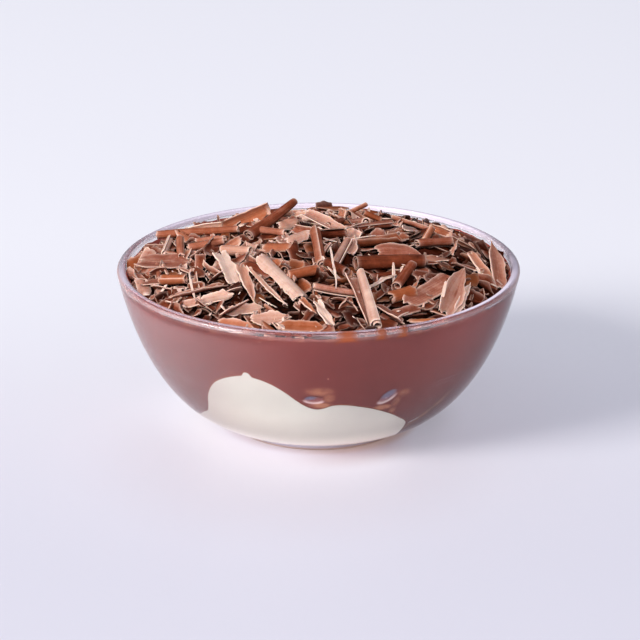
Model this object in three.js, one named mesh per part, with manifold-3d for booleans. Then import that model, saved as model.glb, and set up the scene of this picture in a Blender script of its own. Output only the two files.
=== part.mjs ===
// A clear glass dessert bowl: white cream at the bottom, chocolate cream above it, and a loose
// heap of chocolate shavings that mounds over the rim. Millimetres, +Z up. The origin is the
// centre of the foot, and the side that is seen from the front faces -Y.
import * as THREE from "three";
import { mergeVertices } from "three/addons/utils/BufferGeometryUtils.js";
import Module from "manifold-3d";

// Bowl
const RIM_RADIUS = 52.5;
const BOWL_HEIGHT = 43;
const RIM_ROUND_HEIGHT = 0.9; // from the top of the side to the top of the rim
const RIM_WALL = 2.2;
const BASE_WALL = 2.8;
const WALL_THINS_OVER = 0.5; // share of the side over which the wall thins towards the rim
const FOOT_RADIUS = 23.3;
const FOOT_HEIGHT = 2.2; // the belly starts at the top of the foot
const FOOT_EDGE = 0.6; // bevel of the foot's outer edge
const FOOT_RING_RADIUS = 18; // inner radius of the ring that the bowl stands on
const FOOT_RECESS = 0.8;
const FLOOR_DISH = 0.5; // how much lower the middle of the floor is than its edge
const BELLY_LOW = { radius: 36.9, height: 3.2 }; // pulls of the side's curve
const BELLY_HIGH = { radius: 47.9, height: 20.1 };

// Creams
const GAP = 0.3; // clearance between touching pieces
const PAST_WALL = 2; // how far a cut runs past what it cuts
const CREAM_MIDDLE = 15; // height of the white cream on the axis
const CHOCOLATE_LEVEL = 40;
// How far the white cream reaches along the inside, measured from the middle of the floor,
// at angles round the bowl: 0 is the front and 90 the right.
const CREAM_LINE = [
  [-180, 40.9],
  [-120, 42.3],
  [-75, 38.1],
  [-48, 39.5],
  [-38, 51.2],
  [-30, 56.8],
  [-22, 59],
  [-13, 55.9],
  [0, 48.5],
  [9, 49.9],
  [24, 45.1],
  [37, 37.6],
  [43, 26],
  [60, 19],
  [100, 22],
  [140, 34],
  [180, 40.9],
];

// Heap of shavings
const HEAP_EDGE = 40.3; // height of the bed at the wall
const HEAP_PEAK = 48.6; // height of the bed on the axis
const HEAP_RADIUS = 49.4;
const CORE_RISE = 2.2; // the solid core rises this far into the covering pieces
const CORE_EDGE_RISE = 1.1;
const CORE_LUMPS = 0.5; // height of the core's unevenness
const CORE_WAVES = [
  [0.31, 0.17],
  [-0.19, 0.23],
]; // radians a millimetre, across and deep
const SINK = 0.5; // how deep the lowest point of a shaving sinks into the core
const FREE_HEIGHT = 80; // above everything in the heap
const SHAVING_THICKNESS = 0.6;
const CURL_STEP = 75; // degrees of curl in one facet
const FILL_TRIES = 108;
const FILL_SEED = 20117;
const FILL_CLEARANCE = 1.8; // from the sides of the shavings that stand out
const FILL_REACH = 48.5;
const FILL_EDGE_ROOM = 0.3; // share of a piece's length kept clear of the wall
const FILL_BACK = 0.8; // the heap stops short of the wall at the back

// Facets round the bowl and along its curves
const SEGMENTS = 60;
const SIDE_STEPS = 9;
const RIM_STEPS = 4;
const CREAM_STEPS = 6;
const DOME_STEPS = 6;
const GOLDEN_ANGLE = Math.PI * (3 - Math.sqrt(5));

// The shavings that stand out, in the columns below: the middle of the piece, its height over the
// bed, the heading and pitch of its long axis, its length, its span across, its degrees of curl,
// its turn about the long axis, and the width of its far end as a share of the near one.
const COLUMNS = ["x", "y", "lift", "yaw", "pitch", "length", "span", "curl", "turn", "taper"];
const ROWS = {
  "long roll": [-32, 12, 3, -12, 8, 22.5, 2.6, 320, 0, 1],
  "orange curl": [-19, 18.6, 3.4, 22, 16, 13, 4.2, 150, 55, 1],
  "leaning roll": [-12, 10.4, 4.2, 49, 15, 19, 3.5, 320, 0, 0.55],
  "back roll": [9.6, 25, 4.2, 20, 20, 7, 1.5, 300, 0, 1],
  "back curl": [5.4, 20.5, 3.2, -65, 10, 5, 3, 200, 20, 1],
  "thin roll": [26, 21, 2.9, -24, -10, 14, 1.4, 300, 0, 1],
  "tan strip": [3.4, 6, 3.2, -40, -10, 18, 3.9, 90, 12, 1],
  "centre roll": [0.1, -10.2, 2.8, -84, -15, 16, 3.1, 320, 0, 1],
  "largest roll": [18.4, -17, 2.9, 15, -3, 18.4, 3.9, 330, 0, 1],
  "shell": [21.3, -6, 3.4, 18, -3, 11.5, 6, 110, 205, 1],
  "spiral roll": [21.9, -23.9, 3.2, 64, 16, 10.5, 2.8, 330, 0, 1.15],
  "half roll": [21, -31.6, 2.5, 32, 5, 7, 3.2, 190, 210, 1],
  "front channel": [11.3, -37.2, 3.2, -72, -23, 19.5, 4.5, 190, 10, 1],
  "broad blade": [29, -28.6, 2.7, 52, 9, 18.7, 4.9, 70, 30, 1],
  "leaf blade": [33, -26, 2.7, 66, 13, 18, 4.6, 60, 35, 0.6],
  "wall leaf": [45, -6, 4, 95, 22, 18.5, 3.8, 60, 25, 0.5],
  "pale strip": [-23.2, -17.4, 2.6, -73, -13, 15, 3.8, 50, 0, 1],
  "wavy strip": [-18, -27, 2.7, -75, -18, 15, 3.3, 60, 0, 0.5],
  "thin strip": [-13, -29.3, 3, -58, -14, 18.5, 1.4, 30, 0, 1],
  "long curl": [-10, -26.3, 2.7, -58, -14, 20, 4.1, 130, 190, 1],
  "mid roll": [-3.9, -24.5, 2.6, 13, 8, 8, 2.6, 320, 0, 1],
  "arrow flake": [-2.7, -38, 2.4, -51, -21, 6, 3, 40, 0, 0.3],
  "front strip": [1.6, -42.6, 2.8, -64, -26, 10, 2.4, 50, 0, 1],
  "small tube": [-36, 1.4, 2.8, -86, -9, 10, 2.3, 320, 0, 1],
  "fat roll": [-37, -17.8, 2.2, -20, 9, 7, 2.9, 320, 0, 1],
  "curved flake": [-25.8, -31.5, 2.4, -2, 17, 8, 4, 80, -20, 1],
  "front flake": [-11.8, -42.3, 2.3, -2, 4, 9.5, 4, 50, 15, 1],
  "left rim flake": [-19.6, -43.8, 2.4, -23, 1, 10, 3, 40, 0, 1],
  "rim flake": [-4.1, -46, 2.4, -6, 1, 11, 3, 40, 0, 1],
  "curled strip": [-29.3, 0.8, 2.4, 1, 11, 9.6, 2.1, 300, 0, 1],
  "right roll": [30, 1.8, 2.7, 25, -5, 10, 2.6, 320, 0, 1],
  "open curl": [31.6, 14.6, 2.8, -24, -12, 6.4, 2.6, 240, 30, 1],
  "right strip": [42, -6.6, 2.4, -61, -22, 11, 2.6, 60, 0, 1],
  "spike": [35.5, 1.8, 2.8, 70, 21, 6.3, 2.2, 20, 0, 0.2],
  "flat flake": [30.4, -7.2, 2.2, 30, -8, 7.5, 5, 25, 0, 1],
  "cross strip": [15.6, -26, 3, 43, 8, 10, 1.1, 20, 0, 1],
  "left flake": [-41, -3, 2.3, -30, 10, 11, 6, 20, 0, 1],
  "arch curl": [-10.8, -8.5, 2.8, -5, 4, 7, 2.8, 200, 180, 1],
  "crumpled flake": [-8, 10.4, 2.6, 35, 2, 6, 3, 120, 210, 1],
  "pointed shard": [24.4, -26.9, 3.2, 68, 24, 6.4, 2.4, 40, 0, 0.2],
  "second left flake": [-42, -15, 2.3, -23, 12, 6.5, 5, 30, 0, 1],
  "right flake": [42.5, 8.4, 2.2, -43, -24, 5.5, 3, 60, 0, 1],
  "dark roll": [14.5, 19.8, 2.8, -23, -16, 5, 1.9, 300, 0, 1],
  "ring curl": [28.6, 7.4, 3, 63, 25, 5, 2.2, 300, 0, 1],
  "second curl": [-28.4, 6, 2.6, -15, 11, 8, 1.7, 300, 0, 1],
  "rim shard": [26.4, -40, 2.4, 17, -4, 8, 2, 20, 0, 1],
};
const SHAVINGS = Object.values(ROWS).map((row) =>
  Object.fromEntries(row.map((value, k) => [COLUMNS[k], value])),
);

// Kinds of the other shavings: the range of each size, in millimetres and degrees.
const FILL_KINDS = [
  { length: [7, 15], span: [1.6, 3], curl: [300, 330] },
  { length: [6, 13], span: [2.4, 3.6], curl: [150, 240] },
  { length: [7, 15], span: [2.6, 4.4], curl: [50, 120] },
  { length: [5, 9], span: [3, 5], curl: [15, 40] },
];
const FILL_PITCH = 14;
const FILL_TURN = 40;
const FILL_LIFT = [2, 2.9];

const GLASS = new THREE.MeshStandardMaterial({
  color: 0xe9ebf2,
  roughness: 0.03,
  metalness: 0,
  transparent: true,
  opacity: 0.35,
});
const WHITE_CREAM = new THREE.MeshStandardMaterial({ color: 0xebe4da, roughness: 0.5, metalness: 0 });
const CHOCOLATE_CREAM = new THREE.MeshStandardMaterial({ color: 0x86504a, roughness: 0.5, metalness: 0 });
const SHAVING = new THREE.MeshStandardMaterial({ color: 0xa5755f, roughness: 0.6, metalness: 0 });

const wasm = await Module();
wasm.setup();
const radians = THREE.MathUtils.degToRad;

// The closed solid of a geometry, and back.
function solidOf(geometry) {
  const bare = geometry.clone();
  bare.deleteAttribute("normal");
  bare.deleteAttribute("uv");
  const merged = mergeVertices(bare, 1e-4);
  const mesh = new wasm.Mesh({
    numProp: 3,
    vertProperties: merged.attributes.position.array,
    triVerts: new Uint32Array(merged.index.array),
  });
  return new wasm.Manifold(mesh);
}

function geometryOf(solid) {
  const mesh = solid.getMesh();
  const geometry = new THREE.BufferGeometry();
  geometry.setAttribute("position", new THREE.BufferAttribute(mesh.vertProperties, 3));
  geometry.setIndex(new THREE.BufferAttribute(mesh.triVerts, 1));
  geometry.computeVertexNormals();
  return geometry;
}

// The largest body of a solid, without loose scraps and with sealed hollows filled.
function largest(solid) {
  const bodies = solid.decompose();
  bodies.sort((one, other) => other.volume() - one.volume());
  return bodies[0];
}

// The side of the bowl as a curve from the foot to the rim, outside and at a depth inside it.
const SIDE = new THREE.CubicBezierCurve(
  new THREE.Vector2(FOOT_RADIUS, FOOT_HEIGHT),
  new THREE.Vector2(BELLY_LOW.radius, BELLY_LOW.height),
  new THREE.Vector2(BELLY_HIGH.radius, BELLY_HIGH.height),
  new THREE.Vector2(RIM_RADIUS, BOWL_HEIGHT - RIM_ROUND_HEIGHT),
);

function insidePoint(share, clearance) {
  const thinning = Math.min(share / WALL_THINS_OVER, 1);
  const depth = THREE.MathUtils.lerp(BASE_WALL, RIM_WALL, thinning) + clearance;
  const point = SIDE.getPoint(share);
  const along = SIDE.getTangent(share);
  return new THREE.Vector2(point.x - along.y * depth, point.y + along.x * depth);
}

// Points up the inside of the bowl, from the middle of the floor to the rim.
function insideCurve(clearance, steps) {
  const points = Array.from({ length: steps + 1 }, (_, k) => insidePoint(k / steps, clearance));
  return [new THREE.Vector2(0, points[0].y - FLOOR_DISH), ...points];
}

function bowlGeometry() {
  const inside = insideCurve(0, SIDE_STEPS);
  const outerRim = SIDE.getPoint(1);
  const innerRim = inside[inside.length - 1];
  const middle = outerRim.clone().add(innerRim).multiplyScalar(0.5);
  const half = outerRim.clone().sub(middle);
  const rim = [];
  for (let k = 1; k < RIM_STEPS; k += 1) {
    const angle = (Math.PI * k) / RIM_STEPS;
    const point = half.clone().multiplyScalar(Math.cos(angle)).add(middle);
    point.y += (BOWL_HEIGHT - middle.y) * Math.sin(angle);
    rim.push(point);
  }
  const profile = [
    new THREE.Vector2(0, FOOT_RECESS),
    new THREE.Vector2(FOOT_RING_RADIUS - FOOT_RECESS, FOOT_RECESS),
    new THREE.Vector2(FOOT_RING_RADIUS, 0),
    new THREE.Vector2(FOOT_RADIUS - FOOT_EDGE, 0),
    new THREE.Vector2(FOOT_RADIUS, FOOT_EDGE),
    ...SIDE.getPoints(SIDE_STEPS),
    ...rim,
    ...inside.reverse(),
  ];
  return new THREE.LatheGeometry(profile, SEGMENTS).rotateX(Math.PI / 2);
}

// The inside of the bowl by distance from the middle of its floor, clear of the glass.
const INSIDE = insideCurve(GAP, 8 * SIDE_STEPS);
const INSIDE_REACH = INSIDE.map((point, k) => (k === 0 ? 0 : point.distanceTo(INSIDE[k - 1])));
INSIDE_REACH.forEach((step, k) => {
  if (k > 0) INSIDE_REACH[k] = INSIDE_REACH[k - 1] + step;
});

function insideAt(reach) {
  const next = Math.max(1, INSIDE_REACH.findIndex((value) => value >= reach));
  const share = (reach - INSIDE_REACH[next - 1]) / (INSIDE_REACH[next] - INSIDE_REACH[next - 1]);
  return INSIDE[next - 1].clone().lerp(INSIDE[next], share);
}

function reachAtHeight(height) {
  const next = INSIDE.findIndex((point) => point.y >= height);
  const share = (height - INSIDE[next - 1].y) / (INSIDE[next].y - INSIDE[next - 1].y);
  return THREE.MathUtils.lerp(INSIDE_REACH[next - 1], INSIDE_REACH[next], share);
}

function creamReach(degrees) {
  const next = Math.max(1, CREAM_LINE.findIndex(([angle]) => angle >= degrees));
  const [lowAngle, lowReach] = CREAM_LINE[next - 1];
  const [highAngle, highReach] = CREAM_LINE[next];
  const share = THREE.MathUtils.smoothstep(degrees, lowAngle, highAngle);
  return THREE.MathUtils.lerp(lowReach, highReach, share);
}

// The white cream's surface at a share of the way from the axis to its edge.
function creamSurface(edge, share) {
  const height = THREE.MathUtils.lerp(CREAM_MIDDLE, edge.y, share * share);
  return new THREE.Vector2(edge.x * share, height);
}

// A turned solid whose profile changes with the angle round the axis: profileAt gives the same
// number of points at each angle, from the axis to the axis.
function turned(profileAt) {
  const geometry = new THREE.LatheGeometry(profileAt(0), SEGMENTS);
  const position = geometry.attributes.position;
  const count = profileAt(0).length;
  for (let ring = 0; ring <= SEGMENTS; ring += 1) {
    const angle = (2 * Math.PI * (ring % SEGMENTS)) / SEGMENTS;
    const degrees = THREE.MathUtils.euclideanModulo(THREE.MathUtils.radToDeg(angle) + 180, 360) - 180;
    profileAt(degrees).forEach((point, k) => {
      position.setXYZ(ring * count + k, point.x * Math.sin(angle), point.y, point.x * Math.cos(angle));
    });
  }
  return geometry.rotateX(Math.PI / 2);
}

function whiteCreamProfile(degrees) {
  const reach = creamReach(degrees);
  const edge = insideAt(reach);
  const profile = [];
  for (let k = 0; k < CREAM_STEPS; k += 1) profile.push(insideAt((reach * k) / CREAM_STEPS));
  for (let k = CREAM_STEPS; k >= 0; k -= 2) profile.push(creamSurface(edge, k / CREAM_STEPS));
  return profile;
}

// All that lies under the white cream's surface, clear of it and out past the wall.
function underCreamProfile(degrees) {
  const edge = insideAt(creamReach(degrees));
  const profile = [new THREE.Vector2(0, -PAST_WALL), new THREE.Vector2(edge.x + PAST_WALL, -PAST_WALL)];
  profile.push(new THREE.Vector2(edge.x + PAST_WALL, edge.y + GAP));
  for (let k = CREAM_STEPS; k >= 0; k -= 2) {
    const point = creamSurface(edge, k / CREAM_STEPS);
    profile.push(new THREE.Vector2(point.x, point.y + GAP));
  }
  return profile;
}

function chocolateCreamGeometry() {
  const top = reachAtHeight(CHOCOLATE_LEVEL);
  const profile = [];
  for (let k = 0; k <= SIDE_STEPS; k += 1) profile.push(insideAt((top * k) / SIDE_STEPS));
  profile.push(new THREE.Vector2(0, CHOCOLATE_LEVEL));
  const filling = solidOf(new THREE.LatheGeometry(profile, SEGMENTS).rotateX(Math.PI / 2));
  return geometryOf(largest(filling.subtract(solidOf(turned(underCreamProfile)))));
}

// Height of the bed that the shavings lie on.
function bedHeight(x, y) {
  const share = Math.min((x * x + y * y) / (HEAP_RADIUS * HEAP_RADIUS), 1);
  return THREE.MathUtils.lerp(HEAP_PEAK, HEAP_EDGE, share);
}

// Height of the solid core at a place, uneven by a few crossed waves.
function coreHeight(x, y) {
  const share = Math.min(Math.hypot(x, y) / HEAP_RADIUS, 1);
  const rise = THREE.MathUtils.lerp(CORE_RISE, CORE_EDGE_RISE, share);
  const [one, other] = CORE_WAVES.map(([across, deep]) => Math.sin(across * x + deep * y));
  return bedHeight(x, y) + rise + CORE_LUMPS * one * other * (1 - share);
}

function coreProfile(degrees) {
  const profile = [new THREE.Vector2(0, HEAP_EDGE), new THREE.Vector2(HEAP_RADIUS, HEAP_EDGE)];
  for (let k = DOME_STEPS; k >= 0; k -= 1) {
    const radius = (HEAP_RADIUS * k) / DOME_STEPS;
    const height = coreHeight(radius * Math.sin(radians(degrees)), -radius * Math.cos(radians(degrees)));
    profile.push(new THREE.Vector2(radius, height));
  }
  return profile;
}

// The room for the heap: inside the bowl's wall, over the chocolate cream and free above the rim.
function heapRoom() {
  const low = insideAt(reachAtHeight(HEAP_EDGE));
  const high = INSIDE[INSIDE.length - 1];
  const profile = [
    new THREE.Vector2(0, HEAP_EDGE),
    low,
    high,
    new THREE.Vector2(high.x, FREE_HEIGHT),
    new THREE.Vector2(0, FREE_HEIGHT),
  ];
  return new THREE.LatheGeometry(profile, SEGMENTS).rotateX(Math.PI / 2);
}

// A shaving is a thin strip, x along it and y across, rolled up about its long axis and let down
// until it rests on the core.
function shavingGeometry({ x, y, lift, yaw, pitch, length, span, curl, turn, taper = 1 }) {
  const angle = radians(curl);
  const radius = curl < 180 ? span / (2 * Math.sin(angle / 2)) : span / 2;
  const rise = curl < 180 ? radius * (1 - Math.cos(angle / 2)) : span;
  const facets = Math.max(1, Math.round(curl / CURL_STEP));
  const geometry = new THREE.BoxGeometry(length, 1, SHAVING_THICKNESS, 1, facets, 1);
  const position = geometry.attributes.position;
  for (let k = 0; k < position.count; k += 1) {
    const along = position.getX(k) / length + 0.5;
    const width = THREE.MathUtils.lerp(1, taper, along);
    const arc = angle * position.getY(k);
    const ring = radius * width - position.getZ(k);
    const height = radius * width - ring * Math.cos(arc) - (rise * width) / 2;
    position.setXYZ(k, position.getX(k), ring * Math.sin(arc), height);
  }
  geometry.rotateX(radians(turn));
  geometry.rotateY(-radians(pitch));
  geometry.rotateZ(radians(yaw));
  geometry.translate(x, y, bedHeight(x, y) + lift);
  return geometry.translate(0, 0, -Math.max(0, clearOfCore(geometry) + SINK));
}

// Height of a geometry's lowest point over the core.
function clearOfCore(geometry) {
  const position = geometry.attributes.position;
  let least = Infinity;
  for (let k = 0; k < position.count; k += 1) {
    least = Math.min(least, position.getZ(k) - coreHeight(position.getX(k), position.getY(k)));
  }
  return least;
}

// Even numbers from 0 to 1 in a fixed order.
function draws(seed) {
  const modulus = 2147483647;
  const factor = 16807;
  let state = seed;
  return () => {
    state = (state * factor) % modulus;
    return state / modulus;
  };
}

function distanceToShaving(x, y, shaving) {
  const heading = radians(shaving.yaw);
  const half = (shaving.length / 2) * Math.cos(radians(shaving.pitch));
  const dx = x - shaving.x;
  const dy = y - shaving.y;
  const along = dx * Math.cos(heading) + dy * Math.sin(heading);
  const beyond = Math.max(0, Math.abs(along) - half);
  const across = dy * Math.cos(heading) - dx * Math.sin(heading);
  return Math.hypot(beyond, across) - shaving.span / 2;
}

// The other shavings: sunflower places over the bed, clear of the ones that stand out.
function fillShavings() {
  const draw = draws(FILL_SEED);
  const pick = ([low, high]) => THREE.MathUtils.lerp(low, high, draw());
  const chosen = [];
  for (let k = 0; k < FILL_TRIES; k += 1) {
    const kind = FILL_KINDS[Math.floor(draw() * FILL_KINDS.length)];
    const length = pick(kind.length);
    const room = FILL_REACH - FILL_EDGE_ROOM * length;
    const radius = room * Math.sqrt((k + 0.5) / FILL_TRIES);
    const heading = k * GOLDEN_ANGLE;
    const x = radius * Math.cos(heading);
    const y = radius * Math.sin(heading) * (Math.sin(heading) > 0 ? FILL_BACK : 1);
    const yaw = 360 * draw();
    const outward = Math.cos(radians(yaw) - heading);
    const slope = THREE.MathUtils.radToDeg((2 * (HEAP_PEAK - HEAP_EDGE) * radius) / HEAP_RADIUS ** 2);
    const shaving = {
      x,
      y,
      yaw,
      length,
      span: pick(kind.span),
      curl: pick(kind.curl),
      lift: pick(FILL_LIFT),
      pitch: pick([-FILL_PITCH, FILL_PITCH]) - slope * outward,
      turn: pick([-FILL_TURN, FILL_TURN]),
    };
    const near = SHAVINGS.some((other) => distanceToShaving(x, y, other) < FILL_CLEARANCE);
    if (!near) chosen.push(shaving);
  }
  return chosen;
}

// The heap is one solid: pieces that stay clear of it are dropped and sealed hollows filled.
function heapGeometry() {
  let heap = solidOf(turned(coreProfile));
  for (const shaving of [...SHAVINGS, ...fillShavings()]) {
    heap = heap.add(solidOf(shavingGeometry(shaving)));
  }
  return geometryOf(largest(heap.intersect(solidOf(heapRoom()))));
}

function piece(name, geometry, material) {
  const mesh = new THREE.Mesh(geometry, material);
  mesh.name = name;
  return mesh;
}

const dessert = new THREE.Group();
dessert.add(
  piece("glass_bowl", bowlGeometry(), GLASS),
  piece("white_cream", turned(whiteCreamProfile), WHITE_CREAM),
  piece("chocolate_cream", chocolateCreamGeometry(), CHOCOLATE_CREAM),
  piece("chocolate_shavings", heapGeometry(), SHAVING),
);

export default dessert;
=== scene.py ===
"""Looks of a chocolate and white cream dessert in a clear glass bowl.

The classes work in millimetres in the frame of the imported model, with -Y towards the viewer, and a
surface is turned into metres when it becomes a mesh. Angles round the bowl are in degrees, 0 at the
front and 90 at the right.
"""

import logging
import math
from collections.abc import Iterator, Mapping, Sequence
from dataclasses import dataclass, field
from enum import Enum
from functools import cached_property
from typing import ClassVar

import bpy
import numpy as np
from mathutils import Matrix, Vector


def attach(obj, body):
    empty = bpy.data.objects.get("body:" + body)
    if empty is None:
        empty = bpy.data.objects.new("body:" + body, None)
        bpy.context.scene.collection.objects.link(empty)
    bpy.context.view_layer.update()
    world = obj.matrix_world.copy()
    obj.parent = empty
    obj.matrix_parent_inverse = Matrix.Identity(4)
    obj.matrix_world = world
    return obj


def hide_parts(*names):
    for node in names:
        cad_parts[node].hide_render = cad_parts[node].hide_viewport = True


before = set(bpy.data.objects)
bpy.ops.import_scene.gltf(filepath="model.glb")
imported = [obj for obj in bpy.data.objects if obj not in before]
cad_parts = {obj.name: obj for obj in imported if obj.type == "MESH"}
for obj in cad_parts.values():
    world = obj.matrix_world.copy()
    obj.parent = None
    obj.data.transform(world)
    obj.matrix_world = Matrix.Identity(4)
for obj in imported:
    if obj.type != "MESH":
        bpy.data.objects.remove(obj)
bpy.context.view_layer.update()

log = logging.getLogger("dessert")
Array = np.ndarray
Colour = tuple[float, float, float]
Place = tuple[float, float, float]
Range = tuple[float, float]
Sockets = Mapping[str | int, object]
MM = 0.001
GOLDEN_ANGLE = math.pi * (3 - math.sqrt(5))
# 1 over the plastic ratio: its multiples, less their whole parts, lie evenly between 0 and 1
PLASTIC_SHARE = 0.7548776662


# Meshes


@dataclass
class Surface:
    """A closed mesh in millimetres, with point attributes by name."""

    points: Array
    quads: Array
    triangles: Array = field(default_factory=lambda: np.zeros((0, 3), int))
    values: dict[str, Array] = field(default_factory=dict)

    def put(
        self, name: str, node: str, slot: str, material: bpy.types.Material, sharp: float = 180
    ) -> bpy.types.Object:
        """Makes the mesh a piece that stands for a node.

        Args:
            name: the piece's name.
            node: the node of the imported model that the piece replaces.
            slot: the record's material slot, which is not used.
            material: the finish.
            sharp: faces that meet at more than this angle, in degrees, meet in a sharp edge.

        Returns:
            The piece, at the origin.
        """
        mesh = bpy.data.meshes.new(name)
        mesh.from_pydata((self.points * MM).tolist(), [], self.quads.tolist() + self.triangles.tolist())
        for key, value in self.values.items():
            vector = value.ndim == 2
            attribute = mesh.attributes.new(key, "FLOAT_VECTOR" if vector else "FLOAT", "POINT")
            attribute.data.foreach_set("vector" if vector else "value", value.astype(np.float32).ravel())
        mesh.polygons.foreach_set("use_smooth", np.ones(len(mesh.polygons), bool))
        if sharp < 180:
            mesh.set_sharp_from_angle(angle=math.radians(sharp))
        mesh.materials.append(material)
        piece = bpy.data.objects.new(name, mesh)
        bpy.context.scene.collection.objects.link(piece)
        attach(piece, "root")
        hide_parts(node)
        log.info("%s: %d points, %d faces", name, len(self.points), len(mesh.polygons))
        return piece


def revolve(profiles: Array, degrees: Array) -> Surface:
    """Turns a profile that changes with the angle about the vertical axis.

    The point (radius, height) at angle a goes to (radius sin a, -radius cos a, height). The first and
    last points of each profile lie on the axis and become one pole each.

    Args:
        profiles: radius and height, shaped (angles, points, 2), going up on the outside.
        degrees: the angles, without the closing one.

    Returns:
        The closed surface; its first vertices are the profiles' inner points, angle by angle.
    """
    angles = np.radians(degrees)[:, None]
    inner = profiles[:, 1:-1]
    radius, height = inner[..., 0], inner[..., 1]
    grid = np.stack([radius * np.sin(angles), -radius * np.cos(angles), height], -1)
    turns, count = radius.shape
    poles = np.array([[0, 0, profiles[0, 0, 1]], [0, 0, profiles[0, -1, 1]]])
    here = np.arange(turns)[:, None] * count
    there = np.roll(here, -1, 0)
    step = np.arange(count - 1)[None]
    quads = np.stack([here + step, there + step, there + step + 1, here + step + 1], -1).reshape(-1, 4)
    low, high = turns * count, turns * count + 1
    here, there = here[:, 0], there[:, 0]
    bottom = np.stack([np.full(turns, low), there, here], -1)
    top = np.stack([here + count - 1, there + count - 1, np.full(turns, high)], -1)
    return Surface(np.vstack([grid.reshape(-1, 3), poles]), quads, np.vstack([bottom, top]))


def ring(loop: Array, turns: int) -> Surface:
    """Turns a closed loop about the vertical axis.

    Args:
        loop: radius and height, anticlockwise with the radius to the right and the height up.
        turns: facets round the axis.

    Returns:
        The closed surface, angle by angle.
    """
    angles = np.linspace(0, 2 * np.pi, turns, endpoint=False)[:, None]
    radius, height = loop.T
    points = np.stack([radius * np.sin(angles), -radius * np.cos(angles), height + 0 * angles], -1)
    here = np.arange(turns * len(loop)).reshape(turns, -1)
    there = np.roll(here, -1, 0)
    corners = [here, there, np.roll(there, -1, 1), np.roll(here, -1, 1)]
    return Surface(points.reshape(-1, 3), np.stack(corners, -1).reshape(-1, 4))


def smooth_through(x: Array, knots: Sequence[Range]) -> Array:
    """A smooth curve through knots: cubic pieces whose slope at a knot is that of its neighbours.

    Args:
        x: where to read the curve.
        knots: pairs of place and value, in order of place.

    Returns:
        The curve at x.
    """
    places, levels = np.array(knots, float).T
    slopes = np.gradient(levels, places)
    k = np.clip(np.searchsorted(places, x) - 1, 0, len(places) - 2)
    step = places[k + 1] - places[k]
    t = np.clip((x - places[k]) / step, 0, 1)
    rise = 3 * t**2 - 2 * t**3
    return (
        levels[k] * (1 - rise)
        + levels[k + 1] * rise
        + step * slopes[k] * (t**3 - 2 * t**2 + t)
        + step * slopes[k + 1] * (t**3 - t**2)
    )


def ease(x: Array, low: float, high: float) -> Array:
    """A smooth step from 0 at low to 1 at high."""
    t = np.clip((x - low) / (high - low), 0, 1)
    return t * t * (3 - 2 * t)


def window(x: Array, rise: Range, fall: Range, fallen: float = 1.0) -> Array:
    """A smooth step up over one range, times a smooth step down over another that takes a share away."""
    return ease(x, *rise) * (1 - fallen * ease(x, *fall))


def bell(x: Array, middle: float, half: float) -> Array:
    """A round bump: e to the minus square of the distance from the middle, as a share of half."""
    return np.exp(-(((x - middle) / half) ** 2))


def hump(x: Array, middle: float, half: float) -> Array:
    """A bump with a flat top: a bell with the fourth power in place of the square."""
    return np.exp(-(((x - middle) / half) ** 4))


def ripples(rng: np.random.Generator, count: int, place: Array, first: float, octaves: int = 4) -> Array:
    """Uneven lines, one a row: a sum of sines whose waves shorten by 1.9 and flatten by 1.5 each octave.

    Args:
        rng: the source of the phases.
        count: how many lines.
        place: where along the line, 0 to 1.
        first: waves of the longest sine over the line.
        octaves: how many sines.

    Returns:
        The lines, shaped (count, len(place)), mostly within 1 of 0.
    """
    order = np.arange(octaves)
    phase = rng.uniform(0, 2 * np.pi, (count, octaves, 1))
    waves = first * 1.9 ** order[None, :, None] * rng.uniform(0.8, 1.25, (count, octaves, 1))
    sines = np.sin(2 * np.pi * waves * place[None, None] + phase) / 1.5 ** order[None, :, None]
    return sines.sum(1) / 1.6


def bordered(count: int, border: float) -> Array:
    """Even places from 0 to 1 with a narrow first and last step."""
    return np.concatenate([[0], np.linspace(border, 1 - border, count - 2), [1]])


# Shaders


class Value:
    """A shader socket that holds a number; arithmetic on it adds Math nodes."""

    def __init__(self, shader: "Shader", socket: bpy.types.NodeSocket) -> None:
        """Keeps the socket and the shader that its nodes go into."""
        self.shader = shader
        self.socket = socket

    def math(self, operation: str, *others: "Value | float", turned: bool = False) -> "Value":
        """One Math node on this value and others, in reverse order where turned."""
        parts = [self, *others][::-1] if turned else [self, *others]
        made = self.shader.node("ShaderNodeMath", {"operation": operation}, dict(enumerate(parts)))
        return Value(self.shader, made.outputs[0])

    def __add__(self, other: "Value | float") -> "Value":
        """Sum."""
        return self.math("ADD", other)

    def __radd__(self, other: float) -> "Value":
        """Sum."""
        return self.math("ADD", other)

    def __sub__(self, other: "Value | float") -> "Value":
        """Difference."""
        return self.math("SUBTRACT", other)

    def __rsub__(self, other: float) -> "Value":
        """Difference from a number."""
        return self.math("SUBTRACT", other, turned=True)

    def __mul__(self, other: "Value | float") -> "Value":
        """Product."""
        return self.math("MULTIPLY", other)

    def __rmul__(self, other: float) -> "Value":
        """Product."""
        return self.math("MULTIPLY", other)

    def __pow__(self, other: float) -> "Value":
        """Power."""
        return self.math("POWER", other)

    def between(self, low: float, high: float) -> "Value":
        """A smooth step from 0 at low to 1 at high."""
        ends = {"Value": self, "From Min": low, "From Max": high}
        made = self.shader.node("ShaderNodeMapRange", {"interpolation_type": "SMOOTHSTEP"}, ends)
        return Value(self.shader, made.outputs["Result"])

    def held(self) -> "Value":
        """The value kept within 0 and 1."""
        made = self.shader.node("ShaderNodeClamp", {}, {"Value": self})
        return Value(self.shader, made.outputs["Result"])


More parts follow.
